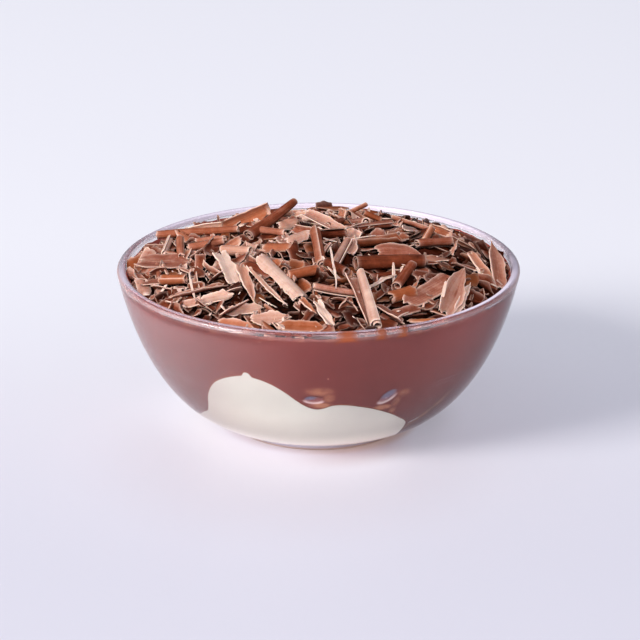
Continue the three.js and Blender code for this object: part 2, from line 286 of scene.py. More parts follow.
class Shader:
    """A material under construction."""

    def __init__(self, name: str) -> None:
        """Starts an empty material.

        Args:
            name: the material's name.
        """
        self.material = bpy.data.materials.new(name)
        self.material.use_nodes = True
        self.tree = self.material.node_tree
        self.tree.nodes.clear()

    def node(self, kind: str, settings: Mapping[str, object], sockets: Sockets) -> bpy.types.Node:
        """Adds a node.

        Args:
            kind: the node's type.
            settings: its properties, set first.
            sockets: a value, a Value or an output socket for each input, by name or number.

        Returns:
            The node.
        """
        made = self.tree.nodes.new(kind)
        for key, value in settings.items():
            setattr(made, key, value)
        for key, value in sockets.items():
            link = value.socket if isinstance(value, Value) else value
            if isinstance(link, bpy.types.NodeSocket):
                self.tree.links.new(link, made.inputs[key])
            else:
                made.inputs[key].default_value = link
        return made

    def number(self, name: str) -> Value:
        """A point attribute that holds a number."""
        made = self.node("ShaderNodeAttribute", {"attribute_name": name}, {})
        return Value(self, made.outputs["Fac"])

    def vector(self, name: str) -> bpy.types.NodeSocket:
        """A point attribute that holds a vector."""
        return self.node("ShaderNodeAttribute", {"attribute_name": name}, {}).outputs["Vector"]

    def place(self) -> bpy.types.NodeSocket:
        """The place on the object, in metres."""
        return self.node("ShaderNodeTexCoord", {}, {}).outputs["Object"]

    def part(self, vector: bpy.types.NodeSocket, axis: str) -> Value:
        """One part of a vector, by the name of its axis."""
        return Value(self, self.node("ShaderNodeSeparateXYZ", {}, {0: vector}).outputs[axis])

    def distance(self, vector: bpy.types.NodeSocket, point: Place) -> Value:
        """How far a vector's end lies from a point."""
        made = self.node("ShaderNodeVectorMath", {"operation": "DISTANCE"}, {0: vector, 1: point})
        return Value(self, made.outputs["Value"])

    def stretched(self, vector: bpy.types.NodeSocket, by: Place) -> bpy.types.NodeSocket:
        """A vector times another, part by part."""
        made = self.node("ShaderNodeVectorMath", {"operation": "MULTIPLY"}, {0: vector, 1: by})
        return made.outputs["Vector"]

    def noise(self, vector: bpy.types.NodeSocket, scale: float, detail: float = 3) -> Value:
        """Cloudy unevenness from 0 to 1."""
        made = self.node("ShaderNodeTexNoise", {}, {"Vector": vector, "Scale": scale, "Detail": detail})
        return Value(self, made.outputs[0])

    def mix(self, share: Value, one: object, other: object) -> bpy.types.NodeSocket:
        """Blends two colours: one at 0, the other at 1."""
        ends = [(*c, 1.0) if isinstance(c, tuple) else c for c in (one, other)]
        sockets = {0: share, 6: ends[0], 7: ends[1]}
        made = self.node("ShaderNodeMix", {"data_type": "RGBA", "clamp_factor": True}, sockets)
        return made.outputs[2]

    def bump(self, height: Value, depth: float, strength: float = 1.0) -> bpy.types.NodeSocket:
        """A normal from a height, with its depth in millimetres."""
        sockets = {"Height": height, "Distance": depth * MM, "Strength": strength}
        return self.node("ShaderNodeBump", {}, sockets).outputs["Normal"]

    def end(self, surface: bpy.types.NodeSocket) -> bpy.types.Material:
        """Joins the surface to the output and gives the material."""
        self.node("ShaderNodeOutputMaterial", {}, {"Surface": surface})
        return self.material

    def plain(self, sockets: Sockets) -> bpy.types.Material:
        """Ends in one Principled shader with these sockets and gives the material."""
        return self.end(self.node("ShaderNodeBsdfPrincipled", {}, sockets).outputs[0])


@dataclass(frozen=True)
class GlassFinish:
    """Clear pressed glass; light that only passes on its way to the food goes straight through."""

    tint: Colour = (0.985, 0.988, 1.0)
    refraction: float = 1.5
    roughness: float = 0.015

    def made(self) -> bpy.types.Material:
        """Builds the material."""
        shader = Shader("clear_glass")
        sockets = {
            "Base Color": (*self.tint, 1.0),
            "Roughness": self.roughness,
            "IOR": self.refraction,
            "Transmission Weight": 1.0,
        }
        glass = shader.node("ShaderNodeBsdfPrincipled", {}, sockets)
        clear = shader.node("ShaderNodeBsdfTransparent", {}, {"Color": (*self.tint, 1.0)})
        path = shader.node("ShaderNodeLightPath", {}, {})
        shown = {0: path.outputs["Is Shadow Ray"], 1: glass.outputs[0], 2: clear.outputs[0]}
        return shader.end(shader.node("ShaderNodeMixShader", {}, shown).outputs[0])


@dataclass(frozen=True)
class SheenFinish:
    """Painted light in the glass, a pale skin of painted highlights and reflections: its density and its
    warmth are attributes of the skin.
    """

    # colour: the painted highlights and reflections; warm: a warmer tint of the painted light
    colour: Colour = (0.82, 0.76, 0.86)
    warm: Colour = (0.62, 0.42, 0.31)
    roughness: float = 0.3
    strength: float = 0.34

    def made(self) -> bpy.types.Material:
        """Builds the material."""
        shader = Shader("rim_sheen")
        sockets = {
            "Base Color": shader.mix(shader.number("warm"), self.colour, self.warm),
            "Roughness": self.roughness,
            "Alpha": (shader.number("painted_light") * self.strength).held(),
        }
        return shader.plain(sockets)


@dataclass(frozen=True)
class CreamFinish:
    """Whipped white cream, pressed smooth against the glass, with painted light near the foot for light from
    the table.

    The painted low colour, which is paler, and the painted glow each fade out over a range of heights, in
    metres.
    """

    pale: Colour = (0.58, 0.572, 0.522)
    deep: Colour = (0.555, 0.53, 0.485)
    clouds: float = 60.0
    low: Colour = (0.92, 0.86, 0.775)
    low_fades: Range = (0.006, 0.024)
    glow: Colour = (0.45, 0.415, 0.385)
    glow_fades: Range = (0.004, 0.0115)
    grain: float = 420.0
    grain_depth: float = 0.02
    roughness: float = 0.5

    def made(self) -> bpy.types.Material:
        """Builds the material."""
        shader = Shader("white_cream")
        place = shader.place()
        cloud = shader.noise(place, self.clouds)
        body = shader.mix(cloud.between(0.35, 0.75), self.pale, self.deep)
        height = shader.part(place, "Z")
        sockets = {
            # painted light: paler low down, and an emission glow near the foot
            "Base Color": shader.mix(height.between(*self.low_fades), self.low, body),
            "Emission Color": shader.mix(height.between(*self.glow_fades), self.glow, (0.0, 0.0, 0.0)),
            "Emission Strength": 1.0,
            "Roughness": self.roughness,
            "Specular IOR Level": 0.0,
            "Normal": shader.bump(shader.noise(place, self.grain), self.grain_depth),
        }
        return shader.plain(sockets)


@dataclass(frozen=True)
class ChocolateCreamFinish:
    """Chocolate cream; where it is a thin film on the glass it is lighter and more orange.

    Towards the sides it changes to the thin colour, which is painted light that makes the left and right
    sides lighter and redder, by the square of the distance from its middle in metres. The paler specks are
    the few cells of a Voronoi pattern whose draw falls in a narrow range.
    """

    light: Colour = (0.204, 0.058, 0.051)
    dark: Colour = (0.179, 0.049, 0.044)
    clouds: float = 45.0
    # thin: the painted light that makes the left and right sides lighter and redder
    thin: Colour = (0.30, 0.07, 0.06)
    middle: float = -0.006
    side_light_from: Range = (0.0003, 0.0024)
    speck: Colour = (0.5, 0.27, 0.2)
    speck_cells: float = 420.0
    speck_edge: Range = (0.08, 0.16)
    speck_draw: Range = (0.965, 0.975)
    film: Colour = (0.42, 0.19, 0.118)
    film_patches: float = 420.0
    film_least: float = 0.5
    film_spread: float = 0.8
    smear: Colour = (0.30, 0.075, 0.018)
    hollow: Colour = (0.15, 0.12, 0.175)
    cream: Colour = (0.66, 0.55, 0.53)
    roughness: float = 0.42

    def made(self) -> bpy.types.Material:
        """Builds the material."""
        shader = Shader("chocolate_cream")
        place = shader.place()
        cloud = shader.noise(place, self.clouds)
        body = shader.mix(cloud.between(0.3, 0.7), self.light, self.dark)
        # painted light: the sides lighter and redder
        aside = (shader.part(place, "X") - self.middle) ** 2
        body = shader.mix(aside.between(*self.side_light_from), body, self.thin)
        cells = shader.node("ShaderNodeTexVoronoi", {}, {"Vector": place, "Scale": self.speck_cells})
        drawn = shader.node("ShaderNodeSeparateColor", {}, {0: cells.outputs["Color"]})
        near = 1 - Value(shader, cells.outputs["Distance"]).between(*self.speck_edge)
        specks = near * Value(shader, drawn.outputs[0]).between(*self.speck_draw)
        body = shader.mix(specks, body, self.speck)
        patches = shader.noise(place, self.film_patches).between(0.3, 0.7)
        patchy = shader.number("film") * (self.film_least + patches * self.film_spread)
        body = shader.mix(patchy.held(), body, self.film)
        body = shader.mix(shader.number("smear"), body, self.smear)
        # the painted shade in the air pockets
        body = shader.mix(shader.number("hollow"), body, self.hollow)
        sockets = {
            "Base Color": shader.mix(shader.number("white"), body, self.cream),
            "Roughness": self.roughness,
            "Specular IOR Level": 0.0,
        }
        return shader.plain(sockets)


@dataclass(frozen=True)
class ShavingFinish:
    """Scraped milk chocolate: streaked along the cut, paler on the hollow side and at broken edges.

    Four noises, whose waves along and across a strip are given for each millimetre, add up with the
    strip's tone to a depth, and the colour climbs from dark through brown and middle to pale with it.
    """

    dark: Colour = (0.05, 0.008, 0.002)
    brown: Colour = (0.20, 0.052, 0.024)
    middle: Colour = (0.37, 0.164, 0.116)
    pale: Colour = (0.63, 0.475, 0.395)
    edge: Colour = (0.78, 0.60, 0.51)
    # orange: a painted glow of light through thin chocolate, where the attribute glow is high
    orange: Colour = (0.46, 0.155, 0.055)
    streak_waves: Place = (0.10, 2.2, 1.0)
    chatter_waves: Place = (1.2, 0.25, 1.0)
    cloud_waves: Place = (0.3, 0.4, 1.0)
    grain_waves: Place = (2.6, 3.0, 1.0)
    tone_share: float = 0.9
    side_share: float = 0.08
    ground: float = 0.53
    streak_share: float = 0.36
    cloud_share: float = 0.4
    chatter_share: float = 0.15
    grain_share: float = 0.16
    # for brown, middle and pale, the share of the colour: the depth times one number, less another
    climbs: tuple[Range, ...] = ((3.3, 0.0), (4.0, 1.2), (2.0, 1.0))
    relief: float = 0.1
    roughness: float = 0.42
    streak_roughness: float = 0.25
    specular: float = 0.22
    glow_depth: float = 0.8
    glow_weight: float = 0.12
    glow_spread: Colour = (1.0, 0.35, 0.12)

    def made(self) -> bpy.types.Material:
        """Builds the material."""
        shader = Shader("milk_chocolate")
        strip = shader.vector("strip")
        streaks = shader.noise(shader.stretched(strip, self.streak_waves), 1.0, 4)
        chatter = shader.noise(shader.stretched(strip, self.chatter_waves), 1.0, 2)
        cloud = shader.noise(shader.stretched(strip, self.cloud_waves), 1.0, 3)
        grain = shader.noise(shader.stretched(strip, self.grain_waves), 1.0, 2)
        tone = shader.number("tone")
        depth = tone * self.tone_share + shader.number("side") * self.side_share - self.ground
        depth = depth + streaks * self.streak_share + cloud * self.cloud_share
        depth = depth + chatter * self.chatter_share + grain * self.grain_share
        body = self.dark
        for colour, (gain, start) in zip((self.brown, self.middle, self.pale), self.climbs):
            body = shader.mix((depth * gain - start).held(), body, colour)
        # painted glow: orange for light passing through thin chocolate
        warm = shader.number("glow") * (0.35 + 1.1 * cloud)
        body = shader.mix(warm.held(), body, self.orange)
        rim = shader.number("edge") * (0.35 + 0.9 * cloud) * (0.3 + 1.2 * tone)
        sockets = {
            "Base Color": shader.mix(rim.held(), body, self.edge),
            "Roughness": (self.roughness + streaks * self.streak_roughness).held(),
            "Specular IOR Level": self.specular,
            "Subsurface Weight": self.glow_weight,
            "Subsurface Radius": self.glow_spread,
            "Subsurface Scale": self.glow_depth * MM,
            "Normal": shader.bump(streaks + chatter * 0.5 + grain * 0.4, self.relief),
        }
        return shader.plain(sockets)


@dataclass(frozen=True)
class CoreFinish:
    """Fine chocolate crumbs in the depth of the heap, painted near-black as the shade between the shavings.
    """

    dark: Colour = (0.008, 0.002, 0.001)
    light: Colour = (0.04, 0.008, 0.003)
    grain: float = 900.0
    grain_depth: float = 0.5
    roughness: float = 0.7
    specular: float = 0.1

    def made(self) -> bpy.types.Material:
        """Builds the material."""
        shader = Shader("heap_core")
        grain = shader.noise(shader.place(), self.grain, 5)
        sockets = {
            "Base Color": shader.mix(grain.between(0.4, 0.75), self.dark, self.light),
            "Roughness": self.roughness,
            "Specular IOR Level": self.specular,
            "Normal": shader.bump(grain, self.grain_depth),
        }
        return shader.plain(sockets)


@dataclass(frozen=True)
class FloorFinish:
    """Smooth pale paper, with painted light and shade.

    It is painted darker towards the viewer, where the light falls off, with a painted shadow in front of the
    foot and painted shade close to it. A reach is the range of distances, in metres, over which a colour
    fades out; on the right of the foot the painted shade is warmer, and a wide painted shadow, the dusk,
    lies outside it.
    """

    # far and near: the floor painted darker towards the viewer, where the light falls off
    far: Colour = (0.83, 0.84, 0.878)
    near: Colour = (0.70, 0.70, 0.767)
    far_from: Range = (-0.11, 0.16)
    # the colour close to the foot is painted shade
    close_shade: Colour = (0.49, 0.49, 0.505)
    close_shade_share: float = 0.7
    close_shade_reach: Range = (0.023, 0.04)
    # dim: a painted soft shadow in front of the foot
    dim: Colour = (0.60, 0.575, 0.625)
    dim_share: float = 0.65
    dim_middle: Place = (-0.008, -0.033, 0.0)
    dim_reach: Range = (0.006, 0.06)
    right_from: Range = (-0.012, 0.012)
    # dusk: a wide painted shadow at the front right of the foot
    dusk: Colour = (0.46, 0.395, 0.42)
    dusk_reach: Range = (0.025, 0.038)
    dusk_ends: Range = (0.016, 0.026)
    # shade: a painted contact shadow close round the foot, warmer on the right
    shade_left: Colour = (0.53, 0.49, 0.515)
    shade_right: Colour = (0.46, 0.36, 0.33)
    shade_reach: Range = (0.024, 0.0275)
    roughness: float = 0.55
    specular: float = 0.25

    def made(self) -> bpy.types.Material:
        """Builds the material."""
        shader = Shader("pale_floor")
        place = shader.place()
        back = shader.part(place, "Y").between(*self.far_from)
        body = shader.mix(back + shader.noise(place, 3.0, 1) * 0.06 - 0.03, self.near, self.far)
        away = shader.distance(place, (0.0, 0.0, 0.0))
        close_shade = self.close_shade_share - away.between(*self.close_shade_reach) * self.close_shade_share
        body = shader.mix(close_shade, body, self.close_shade)
        beside = shader.distance(place, self.dim_middle)
        dimmed = self.dim_share - beside.between(*self.dim_reach) * self.dim_share
        body = shader.mix(dimmed, body, self.dim)
        across = shader.part(place, "X")
        right = across.between(*self.right_from)
        dusk = (1 - away.between(*self.dusk_reach)) * right * (1 - across.between(*self.dusk_ends))
        body = shader.mix(dusk, body, self.dusk)
        shade = shader.mix(right, self.shade_left, self.shade_right)
        sockets = {
            "Base Color": shader.mix(1 - away.between(*self.shade_reach), body, shade),
            "Roughness": self.roughness,
            "Specular IOR Level": self.specular,
        }
        return shader.plain(sockets)


# Bowl


@dataclass(frozen=True)
class GlassBowl:
    """Round glass bowl that stands on a short foot with a ring under it."""

    rim_radius: float = 52.5
    height: float = 43.0
    rim_round: float = 0.9
    rim_wall: float = 2.2
    base_wall: float = 2.8
    wall_thins_over: float = 0.5
    foot_radius: float = 23.3
    foot_height: float = 2.2
    foot_edge: float = 0.6
    ring_radius: float = 18.0
    ring_edge: Range = (0.3, 0.12)
    recess: float = 0.8
    floor_dish: float = 0.5
    belly_low: Range = (36.9, 3.2)
    belly_high: Range = (47.9, 20.1)
    # out and up from the foot of the side, the soft corner over the upright part of the foot
    neck: tuple[Range, ...] = ((0.0, -0.45), (0.02, -0.2), (0.12, -0.05))
    # angle, half width and rise of each smear of chocolate that climbs into the rim
    high_smears: tuple[Place, ...] = ((8.0, 2.4, 2.4), (17.7, 1.2, 2.4), (24.2, 1.3, 2.4))
    low_smears: tuple[Place, ...] = ((-55.0, 4.0, 0.5), (-20.0, 2.0, 0.4), (50.0, 5.0, 0.5))
    steps: int = 96
    turns: int = 256

    def side(self, share: Array) -> tuple[Array, Array]:
        """The outer side: a cubic Bezier curve from the top of the foot to the rim.

        Args:
            share: where along the curve, 0 at the foot and 1 at the rim.

        Returns:
            Points (radius, height) and unit tangents, shaped (len(share), 2).
        """
        rim = (self.rim_radius, self.height - self.rim_round)
        a, b, c, d = np.array([(self.foot_radius, self.foot_height), self.belly_low, self.belly_high, rim])
        t = np.asarray(share, float)[:, None]
        points = (1 - t) ** 3 * a + 3 * (1 - t) ** 2 * t * b + 3 * (1 - t) * t**2 * c + t**3 * d
        along = (1 - t) ** 2 * (b - a) + 2 * (1 - t) * t * (c - b) + t**2 * (d - c)
        return points, along / np.linalg.norm(along, axis=1)[:, None]

    def inside(self, clearance: float = 0.0) -> Array:
        """The inside from the middle of the floor to the rim, set in from the glass by a clearance.

        Args:
            clearance: distance from the glass; below 0 it lies in the glass.

        Returns:
            Points (radius, height).
        """
        share = np.linspace(0, 1, self.steps)
        points, along = self.side(share)
        thinning = np.minimum(share / self.wall_thins_over, 1)
        depth = (self.base_wall + (self.rim_wall - self.base_wall) * thinning + clearance)[:, None]
        wall = points + depth * np.stack([-along[:, 1], along[:, 0]], 1)
        return np.vstack([[0, wall[0, 1] - self.floor_dish], wall])

    def room(self, height: Array, clearance: float) -> Array:
        """Radius of the inside at a height, and over the rim that at the rim."""
        curve = self.inside(clearance)[1:]
        return np.interp(height, curve[:, 1], curve[:, 0])

    def rim(self) -> Array:
        """The rim as a half ellipse between the side and the inside, in points (radius, height)."""
        outer, inner = self.side(np.ones(1))[0][0], self.inside()[-1]
        middle, half = (outer + inner) / 2, (outer - inner) / 2
        turn = np.linspace(0, np.pi, 21)[1:-1, None]
        return middle + half * np.cos(turn) + np.array([0, self.height - middle[1]]) * np.sin(turn)

    def foot_round(self, angles: Array) -> Array:
        """The foot's rounded lower edge: a quarter circle, with angles from straight down."""
        corner = self.foot_radius - self.foot_edge
        out, up = np.sin(angles), 1 - np.cos(angles)
        return np.stack([corner + self.foot_edge * out, self.foot_edge * up], 1)

    def surface(self) -> Surface:
        """The glass as one turned surface: foot ring, foot, side, rim, inside and floor."""
        side, _ = self.side(np.linspace(0, 1, self.steps))
        inside = self.inside()
        foot = self.foot_round(np.linspace(0, np.pi / 2, 7))
        share = np.linspace(1, 0.1, 10)
        floor = inside[0] + (inside[1] - inside[0]) * np.stack([share, share**2], 1)
        under = np.array(
            [
                [0, self.recess],
                [0.5 * self.ring_radius, self.recess],
                [self.ring_radius - self.recess, self.recess],
                [self.ring_radius - self.ring_edge[0], self.ring_edge[1]],
                [self.ring_radius, 0],
            ]
        )
        outside = [under, foot, np.array(self.neck) + side[0], side[1:]]
        profile = np.vstack([*outside, self.rim(), inside[:1:-1], floor, inside[:1]])
        degrees = np.linspace(0, 360, self.turns, endpoint=False)
        return revolve(np.repeat(profile[None], self.turns, 0), degrees)


@dataclass(frozen=True)
class PaintedGlassLight:
    """Thin skins on the glass that carry painted light: painted highlights and reflections in its rim, its
    side and its foot.

    A place round the bowl is an angle and a half width, in degrees, and a strength is a density.
    """

    bowl: GlassBowl
    out: float = 0.015
    into: float = 0.05
    # warm: how warm the painted light is, on the outer rim and on the side
    warm: float = 0.45
    # the painted highlights and reflections in the rim
    rim_drop: float = 1.5
    inner_drop: float = 0.6
    band: float = 0.15
    line: float = 0.55
    top_edge: float = 0.7
    top_turn: tuple[Range, Range] = ((0.34, 0.42), (0.62, 0.7))
    inner_top_turn: tuple[Range, Range] = ((0.42, 0.5), (0.7, 0.8))
    all_over: float = 1.35
    aside_from: Range = (56.0, 84.0)
    line_gap: Range = (-7.0, 10.0)
    line_gap_share: float = 0.9
    left_line: float = 0.3
    left: Range = (-40.0, 15.0)
    right_edge: float = 2.4
    right: Range = (57.0, 17.0)
    right_side: float = 0.6
    right_side_from: Range = (60.0, 85.0)
    smear_gap: float = 0.85
    back_share: float = 0.3
    back: float = 1.5
    # a faint painted reflection of the light on the side, strongest at the left
    reflection_veil: float = 0.40
    reflection_left_from: Range = (0.0, 62.0)
    reflection_right: float = 0.32
    reflection_right_from: Range = (20.0, 80.0)
    reflection_back: Range = (95.0, 150.0)
    reflection_back_loss: float = 0.75
    reflection_shares: Range = (0.2, 0.985)
    reflection_top: Range = (38.0, 41.4)
    # two thin painted highlight lines round the side, part-way up
    highlight_height: float = 23.4
    highlight_half: float = 0.6
    highlight_width: float = 0.16
    highlight_lines: float = 0.28
    highlight_place: Range = (51.0, 12.0)
    highlight_margin: float = 1.6
    # the painted light in the foot: a warm glow where it stands and a highlight line
    foot: float = 1.9
    foot_fall: float = 0.5
    foot_line: float = 0.9
    foot_line_place: Range = (1.35, 0.25)
    foot_upright: float = 1.75

    def around(self) -> Array:
        """Angles of the glass's facets, from -180 to 180."""
        return (np.linspace(0, 360, self.bowl.turns, endpoint=False) + 180) % 360 - 180

    def skin(self, outline: Array, painted_light: Array, warm: Array) -> Surface:
        """A thin skin on the glass along an outline.

        Args:
            outline: points (radius, height), going up on the outside.
            painted_light: how dense the skin's painted light is, shaped (turns, points).
            warm: how warm its colour is, one number a point.

        Returns:
            The closed skin, from out of the glass to into it, with the attributes haze and warm.
        """
        along = np.gradient(outline, axis=0)
        along /= np.linalg.norm(along, axis=1)[:, None]
        out = np.stack([along[:, 1], -along[:, 0]], 1)
        loop = np.vstack([outline + self.out * out, (outline - self.into * out)[::-1]])
        made = ring(loop, self.bowl.turns)
        made.values["painted_light"] = np.concatenate([painted_light, painted_light[:, ::-1]], 1).ravel()
        made.values["warm"] = np.tile(np.concatenate([warm, warm[::-1]]), self.bowl.turns)
        return made

    def rim_skin(self) -> Surface:
        """The painted light in the rim: painted highlights and reflections, at the front a faint band, a
        clear line over it and a pale top edge.

        At the sides and at the back it lies all over the rim. The line is brighter at the front left and
        the top edge at the front right, and the chocolate smears show through. The turn over the rim
        goes from 0 on the outside to 1 on the inside.
        """
        bowl = self.bowl
        side, _ = bowl.side(np.linspace(0, 1, 8 * bowl.steps))
        rim, inside = bowl.rim(), bowl.inside()
        shoulder = bowl.height - bowl.rim_round
        low = shoulder - self.rim_drop
        outer = side[side[:, 1] > low]
        inner = inside[inside[:, 1] > shoulder - self.inner_drop][::-1]
        outline = np.vstack([outer, rim, inner])
        height = outline[:, 1]
        over = np.linspace(0, 1, len(rim) + 2)[1:-1]
        turn = np.concatenate([np.zeros(len(outer)), over, np.ones(len(inner))])
        band = window(height, (low, low + 0.5), (shoulder - 0.25, shoulder + 0.05))
        line = ease(height, shoulder - 0.6, shoulder - 0.3) * (1 - ease(turn, 0.2, 0.34))
        top, inner_top = window(turn, *self.top_turn), window(turn, *self.inner_top_turn)
        whole = ease(height, low, shoulder - 0.5)
        around = self.around()[:, None]
        aside = ease(np.abs(around), *self.aside_from)
        unbroken = 1 - self.line_gap_share * hump(around, *self.line_gap)
        # density of the painted highlights and reflections over the rim
        painted_light = self.band * band + self.top_edge * top + self.line * line * unbroken
        painted_light = painted_light * (1 - aside) + self.all_over * aside * whole
        painted_light = painted_light + self.left_line * hump(around, *self.left) * line
        painted_light = painted_light + self.right_edge * hump(around, *self.right) * inner_top
        for place, half, _ in bowl.high_smears:
            painted_light = painted_light * (1 - self.smear_gap * hump(around, place, half))
        front = np.cos(np.radians(around))
        painted_light = painted_light * (self.back_share + (1 - self.back_share) * ease(front, -0.3, 0.3))
        painted_light = painted_light * (1 + self.right_side * ease(around, *self.right_side_from))
        painted_light = painted_light + self.back * ease(-front, 0.3, 0.75) * whole
        return self.skin(outline, painted_light, self.warm * (1 - ease(turn, 0.2, 0.4)))

    def side_skin(self) -> Surface:
        """A faint painted reflection on the side, strongest at the left, and two thin painted highlight
        lines round it.
        """
        bowl = self.bowl
        share = np.linspace(*self.reflection_shares, 8 * bowl.steps)
        near = np.abs(bowl.side(share)[0][:, 1] - self.highlight_height) < self.highlight_margin
        outline, _ = bowl.side(share[near | (np.arange(len(share)) % 8 == 0)])
        height = outline[:, 1]
        ends = window(height, (height[0], height[0] + 5), self.reflection_top)
        around = self.around()
        behind = (self.reflection_back, self.reflection_back_loss)
        left = window(-around, self.reflection_left_from, *behind)
        right = self.reflection_right * window(around, self.reflection_right_from, *behind)
        painted_light = self.reflection_veil * np.outer(left + right, ends)
        # two thin painted highlight lines
        lines = bell(np.abs(height - self.highlight_height), self.highlight_half, self.highlight_width)
        painted_light = painted_light + self.highlight_lines * np.outer(hump(np.abs(around), *self.highlight_place), lines)
        return self.skin(outline, painted_light, np.full(len(outline), self.warm))

    def foot_skin(self) -> Surface:
        """Painted light in the foot: a warm glow where it stands, a highlight line half-way up, fading up
        the side.
        """
        bowl = self.bowl
        side, _ = bowl.side(np.linspace(0, 0.2, bowl.steps))
        foot = bowl.foot_round(np.linspace(0.25, np.pi / 2, 12))
        upright = np.linspace(bowl.foot_edge, self.foot_upright, 10)[1:]
        upright = np.stack([np.full(len(upright), bowl.foot_radius), upright], 1)
        outline = np.vstack([foot, upright, side])
        radius, height = outline.T
        painted_light = self.foot - self.foot_fall * ease(height, 0.2, 0.8)
        painted_light = painted_light + self.foot_line * bell(height, *self.foot_line_place)
        painted_light = painted_light * (1 - ease(radius, bowl.foot_radius + 0.6, side[-1, 0]))
        return self.skin(outline, np.repeat(painted_light[None], bowl.turns, 0), 1 - ease(height, 0.15, 0.9))


# Creams


@dataclass(frozen=True)
class WhiteCream:
    """White cream at the bottom of the bowl: a mound that is pressed against the glass."""

    bowl: GlassBowl
    front_turns: int = 540
    back_turns: int = 160
    front: float = 66.0
    wall_steps: int = 48
    surface_steps: int = 10
    into_glass: float = 0.12
    middle: float = 15.0
    # the edge on the glass: angles round the bowl and distances along the inside
    line: tuple[Range, ...] = (
        (-200.0, 40.0),
        (-180.0, 40.9),
        (-120.0, 42.3),
        (-75.0, 36.5),
        (-58.0, 36.2),
        (-50.0, 39.6),
        (-44.3, 42.6),
        (-42.2, 45.2),
        (-41.2, 46.9),
        (-38.8, 50.3),
        (-35.1, 54.0),
        (-31.2, 56.2),
        (-27.4, 57.6),
        (-23.8, 58.4),
        (-20.2, 58.2),
        (-16.7, 57.4),
        (-13.3, 55.9),
        (-10.0, 53.8),
        (-7.1, 51.5),
        (-4.0, 49.5),
        (-0.3, 48.5),
        (2.2, 49.0),
        (4.1, 49.7),
        (8.8, 49.8),
        (13.6, 48.9),
        (18.7, 47.5),
        (24.1, 45.4),
        (28.1, 43.5),
        (31.5, 41.6),
        (34.5, 39.9),
        (36.6, 37.8),
        (38.0, 34.0),
        (42.0, 26.0),
        (60.0, 19.0),
        (100.0, 22.0),
        (140.0, 34.0),
        (180.0, 40.9),
        (200.0, 42.0),
    )
    # angle, half width and rise of the nub on that edge
    nub: Place = (-22.3, 1.3, 1.25)

    @cached_property
    def degrees(self) -> Array:
        """Angles of the profiles, closest together at the front."""
        front = np.linspace(-self.front, self.front, self.front_turns, endpoint=False)
        back = np.linspace(self.front, 360 - self.front, self.back_turns, endpoint=False)
        return np.sort((np.concatenate([front, back]) + 180) % 360 - 180)

    @cached_property
    def reach(self) -> Array:
        """Distance along the inside to the edge, one number an angle."""
        place, half, rise = self.nub
        return smooth_through(self.degrees, self.line) + rise * hump(self.degrees, place, half)

    def along(self, clearance: float) -> tuple[Array, Array]:
        """The inside by distance from the middle of the floor.

        Args:
            clearance: distance from the glass.

        Returns:
            The distances and the points (radius, height).
        """
        curve = self.bowl.inside(clearance)
        steps = np.linalg.norm(np.diff(curve, axis=0), axis=1)
        return np.concatenate([[0], np.cumsum(steps)]), curve

    def wall(self, reach: Array, clearance: float) -> Array:
        """Points of the inside at distances from the middle of the floor."""
        distance, curve = self.along(clearance)
        return np.stack([np.interp(reach, distance, curve[:, k]) for k in (0, 1)], -1)

    def top(self) -> Array:
        """Points of the top, from the edge to the axis: its height falls with the square of the radius."""
        edge = self.wall(self.reach, -self.into_glass)
        share = np.linspace(1, 0, self.surface_steps)[None, :]
        height = self.middle + (edge[:, 1:] - self.middle) * share**2
        return np.stack([edge[:, :1] * share, height], -1)

    def surface(self) -> Surface:
        """The cream from the middle of the floor up the glass to its edge, and back over its top."""
        share = np.linspace(0, 1, self.wall_steps)[None]
        wall = self.wall(self.reach[:, None] * share, -self.into_glass)
        return revolve(np.concatenate([wall, self.top()[:, 1:]], 1), self.degrees)


@dataclass(frozen=True)
class Dent:
    """A pocket of air between the chocolate cream and the glass, with white cream along one side.

    Its oval is placed by an angle round the bowl, a distance along the inside, a half width, a half
    height and a lean. The side with the white cream is an angle from the pocket's long axis, and the
    shadow in the pocket has a place along and across it and a size, as shares of the pocket's halves.
    """

    oval: tuple[float, ...]
    depth: float
    pale_side: float
    shadow: Place


